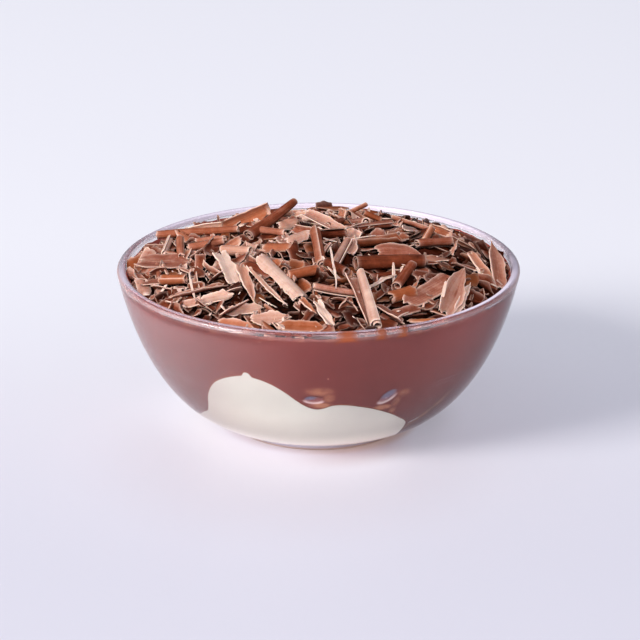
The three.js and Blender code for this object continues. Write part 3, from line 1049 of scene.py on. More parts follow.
@dataclass(frozen=True)
class ChocolateCream:
    """Chocolate cream over the white cream, pressed against the glass and level on top.

    Its wall is a grid: a column for each angle, and in it even steps along the inside of the glass from
    the white cream's edge to the tide, the uneven top edge.
    """

    white: WhiteCream
    wall_steps: int = 92
    top_steps: int = 6
    glass_share: float = 0.8
    seam: float = 0.05
    level: float = 40.0
    tide_height: float = 41.3
    tide_wave: float = 0.16
    tide_drips: float = 0.5
    tide_skin: float = 0.25
    tide_slope: float = 0.35
    below_rim: float = 0.75
    edge_film: Range = (0.45, 0.45)
    tide_film: Range = (0.08, 0.9)
    tide_streaks: float = 0.4
    crescent: float = 0.8
    crescent_place: Range = (0.9, 0.14)
    dents: tuple[Dent, ...] = (
        Dent((-1.6, 52.0, 2.8, 1.4, -3.0), 0.28, -90.0, (-0.3, 0.1, 0.6)),
        Dent((22.9, 51.6, 3.2, 1.75, 43.0), 0.28, -120.0, (0.12, 0.05, 0.85)),
    )
    # a streak of white cream on the glass, placed as an air pocket's oval is
    streak: tuple[float, ...] = (40.0, 38.6, 1.9, 0.4, 33.0)
    # angle, distance, half width, half height and strength of each thin patch on the glass
    patches: tuple[tuple[float, ...], ...] = (
        (0.3, 54.9, 3.5, 1.5, 0.75),
        (3.4, 52.6, 1.5, 1.7, 0.6),
        (0.9, 49.9, 2.9, 1.0, 1.3),
        (28.8, 52.0, 2.0, 1.3, 0.5),
        (26.6, 49.2, 1.1, 1.9, 0.6),
        (22.0, 47.6, 2.4, 1.0, 1.3),
        (26.3, 45.9, 1.0, 1.1, 0.8),
    )
    # a thin strip right of the white cream: angles over which it starts and ends
    strip_ends: tuple[Range, Range] = ((36.0, 39.0), (48.0, 54.0))
    # the strip's distance where it starts, its rise a degree and its half width
    strip: Place = (34.0, 0.80, 1.3)

    @cached_property
    def tide(self) -> Array:
        """Distance along the inside to the top edge, which is uneven and climbs in short smears."""
        degrees, bowl = self.white.degrees, self.white.bowl
        distance, curve = self.white.along(0.0)
        wave, drips = ripples(np.random.default_rng(41), 2, (degrees + 180) / 360, 14, 4)
        height = self.tide_height + self.tide_wave * wave + self.tide_drips * np.maximum(drips - 0.45, 0)
        for place, half, rise in (*bowl.high_smears, *bowl.low_smears):
            height += rise * hump(degrees, place, half)
        return np.interp(np.minimum(height, bowl.height - self.below_rim), curve[:, 1], distance)

    @cached_property
    def along(self) -> Array:
        """Distance along the inside at each point of the wall."""
        share = np.linspace(0, 1, self.wall_steps)[None]
        low = self.white.reach + self.seam
        return low[:, None] + (self.tide - self.white.reach - self.seam)[:, None] * share

    def axes(self, oval: tuple[float, ...]) -> tuple[Array, Array]:
        """Places on the wall along and across a leaning oval.

        Args:
            oval: its angle, distance, half width, half height and lean.

        Returns:
            The places along and across as shares of the oval's halves.
        """
        place, far, half_width, half_height, lean = oval
        across = np.radians(self.white.degrees - place)[:, None] * self.white.wall(self.along, 0)[..., 0]
        turn, up = math.radians(lean), self.along - far
        long = (across * math.cos(turn) + up * math.sin(turn)) / half_width
        return long, (up * math.cos(turn) - across * math.sin(turn)) / half_height

    def film(self) -> Array:
        """How thin the chocolate lies on the glass: most by its edges, on the strip and in the patches."""
        degrees, (strength, width) = self.white.degrees, self.edge_film
        film = strength * bell(self.along, self.white.reach[:, None], width)
        streaks = ripples(np.random.default_rng(43), 1, (degrees + 180) / 360, 36, 3)[0]
        strength, width = self.tide_film
        streaks = strength + self.tide_streaks * np.maximum(streaks, 0)
        film += streaks[:, None] * bell(self.along, self.tide[:, None], width)
        low, rise, width = self.strip
        middle = low + rise * (degrees - self.strip_ends[0][0])
        inside = window(degrees, *self.strip_ends)
        film = np.maximum(film, inside[:, None] * bell(self.along, middle[:, None], width))
        for *oval, strength in self.patches:
            away = np.hypot(*self.axes((*oval, 0.0)))
            film = np.maximum(film, strength * (1 - ease(away, 0.2, 1.4)))
        return film

    def smear(self) -> Array:
        """Where the high smears show: on each, over the topmost part of the wall."""
        high = self.white.bowl.high_smears
        smears = [hump(self.white.degrees, place, 1.15 * half) for place, half, _ in high]
        return np.max(smears, 0)[:, None] * ease(self.along - self.tide[:, None], -2.4, -1.6)

    def pockets(self) -> tuple[Array, Array, Array]:
        """The air pockets, each with a crescent of white cream, and the streak of white cream.

        Returns:
            How far the wall stands off the glass, the pockets' shadow and the white cream.
        """
        pale = 1 - ease(np.hypot(*self.axes(self.streak)), 0.6, 1.05)
        pushed, shadow = np.zeros((2, *self.along.shape))
        for dent in self.dents:
            long, short = self.axes(dent.oval)
            far = np.hypot(long, short)
            pushed = np.maximum(pushed, dent.depth * (1 - ease(far, 0.3, 1.15)))
            at, over, size = dent.shadow
            shadow = np.maximum(shadow, 1 - ease(np.hypot(long - at, short - over) / size, 0.4, 1.1))
            side = math.radians(dent.pale_side)
            toward = (long * math.cos(side) + short * math.sin(side)) / np.maximum(far, 1e-6)
            crescent = self.crescent * bell(far, *self.crescent_place) * ease(toward, 0.0, 0.8)
            pale = np.maximum(pale, crescent)
        return pushed, shadow, pale

    def surface(self) -> Surface:
        """The cream over the white cream, up the glass, over the lip at the tide and level to the axis.

        It reaches less far into the glass than the white cream, whose edge covers it.
        """
        white = self.white
        pushed, shadow, pale = self.pockets()
        into = self.glass_share * white.into_glass
        wall = white.wall(self.along, -into)
        wall = wall + (white.wall(self.along, 1.0 - into) - wall) * pushed[..., None]
        below = white.top()[:, :0:-1] + np.array([0, self.seam])
        lip = wall[:, -1:] - np.array([white.into_glass + self.tide_skin, self.seam])
        crease = lip - np.array([self.tide_slope, 0])
        crease[..., 1] = self.level + 0.1
        top = crease * np.linspace(0.97, 0, self.top_steps)[None, :, None]
        top[..., 1] = self.level
        profiles = np.concatenate([below, wall, lip, crease, top], 1)
        made = revolve(profiles, white.degrees)
        start, end = below.shape[1], below.shape[1] + self.wall_steps
        values = {"film": self.film(), "smear": self.smear(), "hollow": shadow, "white": pale}
        for name, value in values.items():
            whole = np.zeros(profiles.shape[:2])
            whole[:, start:end] = value
            whole[:, end : end + 2] = value[:, -1:]
            made.values[name] = np.concatenate([whole[:, 1:-1].ravel(), [0, 0]])
        return made


# Shavings

# curl, in degrees, past which a strip winds over itself
ROLLED = 340.0


class Kind(Enum):
    """Kinds of shaving, each with its facets along and across."""

    ROLL = (24, 54)
    CURL = (26, 26)
    BLADE = (30, 16)
    UNDER_ROLL = (10, 28)
    UNDER = (12, 10)
    SPLINTER = (12, 4)
    CHIP = (8, 6)
    CRUMB = (4, 3)


@dataclass(frozen=True)
class StripForm:
    """What all strips have in common, in millimetres, degrees and shares of the strip."""

    border_along: float = 0.02
    border_across: float = 0.03
    end_waves: float = 0.9
    side_waves: float = 1.2
    slide: float = 0.9
    least_arc: float = 0.3
    roll_start: float = 170.0
    roll_gap: Range = (0.1, 0.35)
    least_radius: float = 0.22
    swell_waves: Range = (0.6, 1.8)
    bow_level: float = 0.66
    bow_aside: float = 0.6
    thinning: float = 0.4
    edge_width: float = 0.25
    grain_shift: float = 60.0


@dataclass
class Shavings:
    """A batch of shavings: each array holds one number for each shaving."""

    form: ClassVar[StripForm] = StripForm()
    x: Array
    y: Array
    z: Array
    yaw: Array
    pitch: Array
    turn: Array
    length: Array
    span: Array
    curl: Array
    taper: Array
    tip: Array
    broken: Array
    frayed: Array
    bend: Array
    twist: Array
    wave: Array
    thickness: Array
    tone: Array
    glow: Array

    def __len__(self) -> int:
        """How many shavings there are."""
        return len(self.length)

    def pick(self, chosen: Array) -> "Shavings":
        """The chosen shavings of the batch."""
        return Shavings(*(value[chosen] for value in vars(self).values()))

    def at(self, way: float, side: float = 0.0) -> tuple[Array, Array]:
        """Places x and y on the shavings, at shares of their length and span from their middles."""
        heading, long, wide = np.radians(self.yaw), way * self.length, side * self.span
        x = self.x + long * np.cos(heading) - wide * np.sin(heading)
        return x, self.y + long * np.sin(heading) + wide * np.cos(heading)

    def radius(self) -> tuple[Array, Array]:
        """Radius of the curl and height of the curled section.

        Returns:
            For an open piece the radius whose chord is the span, and for a roll half the span.
        """
        half = np.radians(np.minimum(self.curl, 180)) / 2
        radius = self.span / (2 * np.sin(half))
        open_rise = radius * (1 - np.cos(np.radians(np.minimum(self.curl, 360)) / 2))
        return radius, np.where(self.curl < ROLLED, open_rise, self.span)

    def rotations(self) -> Array:
        """Matrices that turn about the long axis, then pitch it up, then head it."""
        a, b, c = (np.radians(k) for k in (self.turn, -self.pitch, self.yaw))
        one, none = np.ones_like(a), np.zeros_like(a)

        def matrix(*rows: Array) -> Array:
            """Nine arrays as one 3 by 3 matrix a shaving."""
            return np.stack(rows, -1).reshape(-1, 3, 3)

        about_x = matrix(one, none, none, none, np.cos(a), -np.sin(a), none, np.sin(a), np.cos(a))
        about_y = matrix(np.cos(b), none, np.sin(b), none, one, none, -np.sin(b), none, np.cos(b))
        about_z = matrix(np.cos(c), -np.sin(c), none, np.sin(c), np.cos(c), none, none, none, one)
        return about_z @ about_y @ about_x

    def surface(self, kind: Kind, seed: int) -> Surface:
        """Curled strips with broken ends, as one mesh of closed shells.

        A strip's middle sheet is a function of u, 0 to 1 along it, and v, -0.5 to 0.5 across: the arc
        angle is the curl times v about the strip's lowest line, and on a roll the radius falls with
        the angle so that the sheet winds inwards. A pointed strip narrows with powers of u towards its
        far end and a little at its near end. The sheet is then waved, bowed and twisted, and its two
        faces lie half the thickness to each side along its normals.

        Args:
            kind: gives the facets.
            seed: start of the random draws.

        Returns:
            The mesh with the attributes strip, side, edge, tone and glow.
        """
        rng = np.random.default_rng(seed)
        form, count = self.form, len(self)
        along, across = kind.value
        line_u, line_v = bordered(along, form.border_along), bordered(across, form.border_across) - 0.5
        u, v = line_u[None, :, None], line_v[None, None, :]
        shape = (count, 2, along, across)

        def each(value: Array) -> Array:
            """One number a shaving, shaped for the grid."""
            return value[:, None, None]

        def drawn(low: float, high: float) -> Array:
            """One random number a shaving, shaped for the grid."""
            return rng.uniform(low, high, (count, 1, 1))

        def spread(value: Array) -> Array:
            """A value on both faces, one number a vertex."""
            return np.broadcast_to(value, shape).ravel()

        radius, rise = (each(value) for value in self.radius())
        length, thickness = each(self.length), each(self.thickness)
        total = np.radians(each(self.curl))
        rolled = each(self.curl) > ROLLED
        ends = [ripples(rng, count, line_v + 0.5, form.end_waves)[:, None, :] for _ in range(2)]
        sides = [ripples(rng, count, line_u, form.side_waves)[:, :, None] for _ in range(2)]
        slide = np.where(rolled, drawn(-form.slide, form.slide) * v, 0)
        near, far = (1 - u) ** 3, u**3
        x = length * (u - 0.5) + each(self.broken) * (near * ends[0] + far * ends[1]) + slide
        width = 1 + (each(self.taper) - 1) * u
        arc_width = np.maximum(radius * total, form.least_arc)
        point = each(self.tip) + 1e-3
        narrow = np.clip((1 - u) / point, 0, 1) ** 0.65 * np.clip((u + 0.25 * point) / point, 0, 1) ** 0.5
        uneven = each(self.frayed) / arc_width * (2 * np.abs(v)) ** 4 * np.where(v < 0, *sides)
        place = np.where(rolled, v, v * narrow + uneven)
        start = np.where(rolled, -math.radians(form.roll_start), -total / 2)
        phi = start + total * (place + 0.5)
        inwards = np.where(rolled, thickness + drawn(*form.roll_gap), 0)
        winding = inwards * (v + 0.5) * total / (2 * np.pi)
        waves = u * drawn(*form.swell_waves) + v * drawn(-1, 1)
        swell = each(self.wave) * np.sin(2 * np.pi * waves + drawn(0, 6.28))
        reach = np.maximum(radius * width - winding, form.least_radius) + swell
        y = reach * np.sin(phi)
        z = radius * width - reach * np.cos(phi) - rise * width / 2
        bow = 1 - (2 * u - 1) ** 2 - form.bow_level
        z = z + each(self.bend) * bow
        y = y + each(self.bend) * form.bow_aside * bow * drawn(-1, 1)
        twist = np.radians(each(self.twist)) * (u - 0.5)
        y, z = y * np.cos(twist) - z * np.sin(twist), y * np.sin(twist) + z * np.cos(twist)
        sheet = np.stack(np.broadcast_arrays(x, y, z), -1)
        normal = np.cross(np.gradient(sheet, axis=1), np.gradient(sheet, axis=2))
        normal /= np.maximum(np.linalg.norm(normal, axis=-1, keepdims=True), 1e-9)
        margin = np.maximum((2 * np.abs(v)) ** 10, (2 * np.abs(u - 0.5)) ** 16)
        thin = (thickness * (1 - form.thinning * margin) / 2)[..., None]
        both = np.stack([sheet + normal * thin, sheet - normal * thin], 1)
        middle = np.stack([self.x, self.y, self.z], -1)[:, None, None, None, :]
        points = np.einsum("nij,nsuvj->nsuvi", self.rotations(), both) + middle
        border = np.minimum((0.5 - np.abs(v)) * arc_width, (0.5 - np.abs(u - 0.5)) * length)
        strip = [u * length, v * arc_width, drawn(0, form.grain_shift)]
        values = {
            "strip": np.stack([spread(part[:, None]) for part in strip], -1),
            "side": spread(np.array([1.0, 0.0])[None, :, None, None]),
            "edge": spread(np.exp(-border / form.edge_width)[:, None]),
            "tone": spread(self.tone[:, None, None, None]),
            "glow": spread(self.glow[:, None, None, None]),
        }
        return Surface(points.reshape(-1, 3), self.shells(count, along, across), values=values)

    @staticmethod
    def shells(count: int, along: int, across: int) -> Array:
        """Faces of closed shells: both faces of each sheet and the walls along its four borders."""
        grid = np.arange(2 * along * across).reshape(2, along, across)
        top, low = grid

        def quads(a: Array, b: Array, c: Array, d: Array) -> Array:
            """Corner arrays as rows of four."""
            return np.stack([a, b, c, d], -1).reshape(-1, 4)

        parts = [
            quads(top[:-1, :-1], top[1:, :-1], top[1:, 1:], top[:-1, 1:]),
            quads(low[:-1, :-1], low[:-1, 1:], low[1:, 1:], low[1:, :-1]),
            quads(top[:-1, 0], low[:-1, 0], low[1:, 0], top[1:, 0]),
            quads(top[:-1, -1], top[1:, -1], low[1:, -1], low[:-1, -1]),
            quads(top[0, :-1], top[0, 1:], low[0, 1:], low[0, :-1]),
            quads(top[-1, :-1], low[-1, :-1], low[-1, 1:], top[-1, 1:]),
        ]
        one = np.vstack(parts)
        return (one[None] + np.arange(count)[:, None, None] * grid.size).reshape(-1, 4)


def even_draws(seed: int) -> Iterator[float]:
    """Even numbers from 0 to 1 in a fixed order: each state is the last times 16807, modulo 2^31 - 1."""
    state = seed
    while True:
        state = state * 16807 % 2147483647
        yield state / 2147483647


@dataclass(frozen=True)
class Strewing:
    """How a batch of loose shavings is strewn over the bed."""

    count: int
    seed: int
    lengths: Range
    spans: Range
    lifts: Range = (0.0, 0.0)
    rolls: float = 0.0
    curls: float = 0.0
    tilt: float = 10.0
    tones: Range = (-0.1, 0.5)
    pointed: float = 0.4
    flipped: float = 0.4


@dataclass(frozen=True)
class Heap:
    """Loose heap of shavings over the chocolate cream.

    The bed is a dome from the edge to the peak. The shavings that stand out have a row each or are placed
    by rule, with the fill values, and the rest is strewn.
    """

    bowl: GlassBowl
    edge: float = 40.3
    peak: float = 48.6
    radius: float = 49.4
    core_rise: float = 2.2
    core_edge_rise: float = 1.1
    lumps: float = 0.5
    lump_waves: tuple[Range, Range] = ((0.31, 0.17), (-0.19, 0.23))
    sink: float = 0.5
    solid_thickness: float = 0.6
    solid_curl: float = 330.0
    fill_tries: int = 108
    fill_seed: int = 20117
    fill_clearance: float = 1.8
    fill_reach: float = 48.5
    fill_edge_room: float = 0.3
    fill_back: float = 0.8
    fill_pitch: float = 14.0
    fill_turn: float = 40.0
    fill_lift: Range = (2.0, 2.9)
    fill_tone: float = 0.1
    fill_tone_spread: float = 0.6
    fill_tone_right: float = -0.003
    fill_tone_back: float = 0.006
    back_drop: float = 1.8
    back_from: Range = (8.0, 22.0)
    flat_to: float = 110.0
    rolled_from: float = 280.0
    roll_winds: Range = (0.3, 1.1)
    lie_left: float = -65.0
    lie_right_front: float = 110.0
    lie_right_back: float = 40.0
    right_from: Range = (-4.0, 20.0)
    right_back_from: Range = (-22.0, -8.0)
    strewn_margin: float = 0.6
    glass_clearance: float = 0.4
    core_turns: int = 220
    core_rings: int = 64
    core_drop: float = 0.4
    core_grain: float = 0.45
    core_waves: Range = (0.6, 2.6)
    core_foot: float = 1.2
    # lengths, spans and curls of each kind that is placed by rule
    fill_kinds: tuple[tuple[Range, Range, Range], ...] = (
        ((7.0, 15.0), (1.6, 3.0), (300.0, 330.0)),
        ((6.0, 13.0), (2.4, 3.6), (150.0, 240.0)),
        ((7.0, 15.0), (2.6, 4.4), (50.0, 120.0)),
        ((5.0, 9.0), (3.0, 5.0), (15.0, 40.0)),
    )
    # x, y, lift over the bed, yaw, pitch, length, span, curl, turn about the long axis, taper, tip,
    # tone and painted glow
    named: tuple[tuple[float, ...], ...] = (
        (-32, 12, 3, -12, 8, 22.5, 2.6, 320, 0, 1, 0, 0.42, 0.22),  # long roll
        (-19, 18.6, 2.7, 22, 16, 13, 4.2, 150, 55, 1, 0, 0.45, 0.55),  # orange curl
        (-12, 10.4, 4.2, 49, 15, 19, 3.3, 320, 0, 0.72, 0, 0.33, 0.05),  # leaning roll
        (9.6, 25, 4.2, 20, 20, 7, 1.5, 300, 0, 1, 0, 0.4, 0.2),  # back roll
        (5.4, 20.5, 3.2, -65, 10, 5, 3, 200, 20, 1, 0, 0.5, 0.3),  # back curl
        (26, 21, 2.9, -24, -10, 14, 1.4, 300, 0, 1, 0, 0.4, 0.1),  # thin roll
        (3.4, 6, 3.2, -40, -10, 18, 3.9, 90, 12, 1, 0, 0.62, 0),  # tan strip
        (0.1, -10.2, 2.8, -84, -15, 16, 3.1, 320, 0, 1, 0, 0.45, 0.2),  # centre roll
        (18.4, -17, 2.9, 15, -3, 18.4, 3.9, 330, 0, 1, 0, 0.2, 0.05),  # largest roll
        (21, -9, 3.4, 10, -8, 11.5, 5, 130, 42, 0.7, 0.35, 0.42, 0),  # shell
        (21.9, -23.9, 3.2, 64, 16, 10.5, 2.8, 330, 0, 1.15, 0, 0.38, 0.05),  # spiral roll
        (21, -31.6, 2.5, 32, 5, 7, 3.2, 190, 210, 1, 0, 0.36, 0.45),  # half roll
        (10.4, -37.2, 3.4, -74, -23, 19, 4.2, 90, -38, 0.6, 0, 0.5, 0.05),  # front channel
        (28.4, -27.6, 2.9, 48, 7, 18.2, 4.9, 70, 30, 1, 0.1, 0.47, 0.05),  # broad blade
        (34.4, -27.6, 3.6, 71, 20, 18, 6.2, 80, 35, 0.8, 0.45, 0.56, 0.1),  # leaf blade
        (46.2, -6, 4, 95, 22, 17.5, 5, 60, 25, 0.75, 0.35, 0.5, 0.15),  # wall leaf
        (-23.2, -17.4, 2.6, -73, -13, 15, 3.8, 50, 0, 1, 0, 0.95, 0),  # pale strip
        (-18, -27, 2.7, -75, -18, 15, 3.3, 60, 0, 0.5, 0.2, 0.6, 0.25),  # wavy strip
        (-13, -29.3, 3, -58, -14, 18.5, 1.4, 30, 0, 1, 0.3, 0.75, 0.4),  # thin strip
        (-9.4, -26.5, 2.7, -58, -14, 20, 3.8, 130, 190, 1, 0, 0.9, 0),  # long curl
        (-3.9, -24.5, 2.6, 13, 8, 8, 2.6, 320, 0, 1, 0, 0.36, 0.3),  # mid roll
        (-2.7, -38, 2.4, -51, -21, 6, 3, 40, 0, 0.3, 0.5, 0.5, 0.6),  # arrow flake
        (1.4, -41.9, 2.8, -64, -26, 9, 2.4, 50, 0, 1, 0, 0.9, 0),  # front strip
        (-36, 1.4, 2.8, -86, -9, 10, 2.3, 320, 0, 1, 0, 0.45, 0.25),  # small tube
        (-37, -17.8, 2.2, -20, 9, 7, 2.9, 320, 0, 1, 0, 0.38, 0.45),  # fat roll
        (-25.8, -31.5, 3.2, -2, 17, 8.5, 4.6, 80, 15, 1, 0.2, 0.78, 0.1),  # curved flake
        (-11.8, -42.3, 2.7, -2, 4, 9.5, 4.2, 50, 30, 1, 0.3, 0.7, 0.15),  # front flake
        (-20.8, -43.3, 2.6, -23, 1, 10, 3.6, 40, 30, 1, 0.2, 0.5, 0.45),  # left rim flake
        (-4.1, -46, 2.6, -6, 1, 11, 3.6, 40, 30, 1, 0.2, 0.34, 0.45),  # rim flake
        (-29.3, 0.8, 2.4, 1, 11, 9.6, 2.1, 300, 0, 1, 0, 0.52, 0.2),  # curled strip
        (30, 1.8, 2.7, 25, -5, 10, 2.6, 320, 0, 1, 0, 0.46, 0.05),  # right roll
        (31.6, 14.6, 2.8, -24, -12, 6.4, 2.6, 240, 30, 1, 0, 0.5, 0.5),  # open curl
        (42, -6.6, 2.4, -61, -22, 11, 2.6, 60, 0, 1, 0.1, 0.55, 0.4),  # right strip
        (35.5, 1.8, 2.8, 70, 21, 6.3, 2.2, 20, 0, 0.2, 0.8, 0.6, 0.2),  # spike
        (30.4, -7.2, 2.2, 30, -8, 7.5, 5, 25, 0, 1, 0.2, 0.55, 0.2),  # flat flake
        (15.6, -26, 3.9, 43, 8, 10, 1.1, 20, 0, 1, 0.2, 0.85, 0),  # cross strip
        (-40, -4.5, 2.7, -18, 5, 13.5, 8, 24, 8, 1, 0.3, 0.42, 0),  # left flake
        (-10.8, -8.5, 2.8, -5, 4, 7, 2.8, 200, 180, 1, 0, 0.45, 0.4),  # arch curl
        (-8, 10.4, 2.6, 35, 2, 6, 3, 120, 210, 1, 0.2, 0.75, 0.2),  # crumpled flake
        (24.4, -26.9, 3.2, 68, 24, 6.4, 2.4, 40, 0, 0.2, 0.8, 0.45, 0.3),  # pointed shard
        (-42, -15, 2.3, -23, 12, 6.5, 5, 30, 0, 1, 0.3, 0.4, 0),  # second left flake
        (42.5, 8.4, 2.2, -43, -24, 5.5, 3, 60, 0, 1, 0.2, 0.35, 0.3),  # right flake
        (14.5, 19.8, 2.8, -23, -16, 5, 1.9, 300, 0, 1, 0, 0.2, 0.2),  # dark roll
        (28.6, 7.4, 3, 63, 25, 5, 2.2, 300, 0, 1, 0, 0.5, 0.4),  # ring curl
        (-28.4, 6, 2.6, -15, 11, 8, 1.7, 300, 0, 1, 0, 0.55, 0.2),  # second curl
        (26.4, -40, 2.4, 17, -4, 8, 2, 20, 0, 1, 0.2, 0.4, 1),  # rim shard
    )
    # more of them that only the visual model has, with the columns of named
    added: tuple[tuple[float, ...], ...] = (
        (12.6, -37.4, 3.4, -78, -23, 19.5, 2.5, 320, 0, 1.35, 0, 0.85, 0),  # front tube
        (20.6, -38.2, 2.6, 37, 0, 12, 3.0, 25, 20, 1, 0.1, 0.34, 0),  # under strip
        (36.4, -28.6, 3.1, 70, 19, 12, 2.2, 40, 35, 1, 0.4, 0.75, 0),  # leaf's second sheet
        (-18.5, -38, 2.9, 8, 5, 9, 3.6, 60, 25, 1, 0.2, 0.72, 0.1),  # second front flake
        (-5.4, -3.5, 3.6, 30, 12, 6.5, 3.4, 110, 200, 1, 0.2, 0.78, 0.05),  # crumpled curl
        (-1.2, 1.5, 3.6, -35, 8, 6, 3, 100, 30, 1, 0.2, 0.75, 0),  # second crumpled curl
    )
    # x, y, lift over the bed, yaw, pitch, length, span
    splinters: tuple[tuple[float, ...], ...] = (
        (3.5, -20.1, 4.1, -86, -10, 11, 0.7),
        (4.2, -28, 3.7, -86, -14, 12.7, 0.6),
        (-31.9, -25.8, 2.4, -81, -11, 14, 0.7),
        (43.1, -13.7, 2.0, -47, -21, 9.1, 0.8),
    )
    # low tones under the large shavings are painted shade among them, darkest in the deep layer
    deep: Strewing = Strewing(330, 2, (4.0, 10.0), (2.4, 5.0), (0.0, 0.7), curls=0.1, tones=(-0.3, 0.05))
    under_rolls: Strewing = Strewing(56, 3, (4.5, 10.0), (1.3, 2.5), (0.2, 1.8), rolls=1.0, tilt=14)
    under: Strewing = Strewing(380, 4, (4.5, 12.0), (2.0, 4.6), (0.4, 2.3), curls=0.4, tilt=18)
    strewn_splinters: Strewing = Strewing(26, 6, (5.0, 11.0), (0.45, 0.9), tones=(0.6, 1.0))
    chips: Strewing = Strewing(170, 11, (1.4, 4.0), (0.8, 2.2), tones=(0.2, 0.9))
    crumbs: Strewing = Strewing(420, 13, (0.4, 1.3), (0.35, 0.9), tones=(0.2, 0.9))

    def bed(self, x: Array, y: Array) -> Array:
        """Height of the bed: a dome that falls with the square of the distance from the axis."""
        share = np.minimum((x * x + y * y) / self.radius**2, 1)
        return self.peak + (self.edge - self.peak) * share

    def slope(self, x: Array, y: Array, yaw: Array) -> Array:
        """Pitch of the bed along a heading, in degrees."""
        fall = 2 * (self.peak - self.edge) / self.radius**2
        return -np.degrees(fall * (x * np.cos(np.radians(yaw)) + y * np.sin(np.radians(yaw))))

    def lie(self, x: Array, y: Array) -> Array:
        """Heading that most shavings share at a place: forwards at the left, and across at the right."""
        right, back = ease(x, *self.right_from), ease(y, *self.right_back_from)
        return self.lie_left + right * (self.lie_right_back * back + self.lie_right_front * (1 - back))

    def solid_core(self, x: Array, y: Array) -> Array:
        """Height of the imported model's core: the bed, a rise that falls outwards and two crossed waves."""
        share = np.minimum(np.hypot(x, y) / self.radius, 1)
        rise = self.core_rise + (self.core_edge_rise - self.core_rise) * share
        (a, b), (c, d) = self.lump_waves
        waves = np.sin(a * x + b * y) * np.sin(c * x + d * y)
        return self.bed(x, y) + rise + self.lumps * waves * (1 - share)

    def standing_out(self) -> Array:
        """The large shavings by name and by rule, with the columns of named."""
        draw = even_draws(self.fill_seed)

        def between(ends: Range) -> float:
            """The next draw, spread between two ends."""
            return ends[0] + (ends[1] - ends[0]) * next(draw)

        rows = []
        own = np.array(self.named, float)
        heading = np.radians(own[:, 3])
        half = own[:, 5] / 2 * np.cos(np.radians(own[:, 4]))
        for k in range(self.fill_tries):
            lengths, spans, curls = self.fill_kinds[int(next(draw) * len(self.fill_kinds))]
            length = between(lengths)
            out = (self.fill_reach - self.fill_edge_room * length) * math.sqrt((k + 0.5) / self.fill_tries)
            x, y = out * math.cos(k * GOLDEN_ANGLE), out * math.sin(k * GOLDEN_ANGLE)
            yaw = 360 * next(draw)
            span, curl, lift = between(spans), between(curls), between(self.fill_lift)
            pitch = between((-self.fill_pitch, self.fill_pitch)) + float(self.slope(x, y, yaw))
            turn = between((-self.fill_turn, self.fill_turn))
            y *= self.fill_back if y > 0 else 1
            dx, dy = x - own[:, 0], y - own[:, 1]
            beyond = np.maximum(0, np.abs(dx * np.cos(heading) + dy * np.sin(heading)) - half)
            aside = dy * np.cos(heading) - dx * np.sin(heading)
            if np.min(np.hypot(beyond, aside) - own[:, 6] / 2) >= self.fill_clearance:
                tone = self.fill_tone + self.fill_tone_spread * (k * GOLDEN_ANGLE % 1)
                tone += self.fill_tone_right * x + self.fill_tone_back * max(0, y)
                # glow: a painted glow of light through thin chocolate
                glow = max(0, 1.3 * (k * PLASTIC_SHARE % 1) - 0.9)
                lift -= self.back_drop * float(ease(np.array(y), *self.back_from))
                rows.append((x, y, lift, yaw, pitch, length, span, curl, turn, 1, 0.1, tone, glow))
        log.info("%d named shavings and %d placed by rule", len(own), len(rows))
        return np.vstack([own, np.array(self.added, float), np.array(rows)])

    def large(self) -> Shavings:
        """The large shavings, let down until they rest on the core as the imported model's do."""
        x, y, lift, yaw, pitch, length, span, curl, turn, taper, tip, tone, glow = self.standing_out().T
        rng = np.random.default_rng(7)
        count, none = len(x), np.zeros(len(x))
        z = self.bed(x, y) + lift
        rough = Shavings(
            x, y, z, yaw, pitch, turn, length, span, np.minimum(curl, self.solid_curl), taper, tip=none,
            broken=none, frayed=none, bend=none, twist=none, wave=none,
            thickness=none + self.solid_thickness, tone=none, glow=none,
        )
        points = rough.surface(Kind.CHIP, 1).points.reshape(count, -1, 3)
        clear = points[..., 2] - self.solid_core(points[..., 0], points[..., 1])
        z = z - np.maximum(0, clear.min(1) + self.sink)
        rolled = curl >= self.rolled_from
        winds = rng.uniform(*self.roll_winds, count)
        return Shavings(
            x, y, z, yaw, pitch,
            turn + np.where(rolled, rng.uniform(0, 360, count), 0),
            length, span,
            curl + np.where(rolled, 360 * winds, 0),
            taper * np.where(rolled, rng.uniform(0.85, 1.08, count), 1), tip,
            broken=np.where(rolled, 0.3, 0.75) * rng.uniform(0.6, 1.2, count),
            frayed=np.where(curl < 150, rng.uniform(0.1, 0.4, count), rng.uniform(0.05, 0.24, count)),
            bend=rng.normal(0, 0.02, count) * length * np.where(rolled, 0.4, 1),
            twist=rng.normal(0, 9, count) * np.where(rolled, 0.2, 1),
            wave=rng.uniform(0.03, 0.14, count) * np.where(rolled, 0.4, 1),
            thickness=rng.uniform(0.34, 0.5, count),
            tone=tone, glow=glow,
        )

    def placed_splinters(self) -> Shavings:
        """The splinters that have a place of their own."""
        x, y, lift, yaw, pitch, length, span = np.array(self.splinters, float).T
        flat = np.zeros(len(x))
        return Shavings(
            x, y, self.bed(x, y) + lift, yaw, pitch, flat, length, span, curl=flat + 25, taper=flat + 0.6,
            tip=flat + 0.3, broken=flat + 0.2, frayed=flat + 0.08, bend=flat - 0.6, twist=flat + 6,
            wave=flat, thickness=flat + 0.3, tone=flat + 0.95, glow=flat,
        )

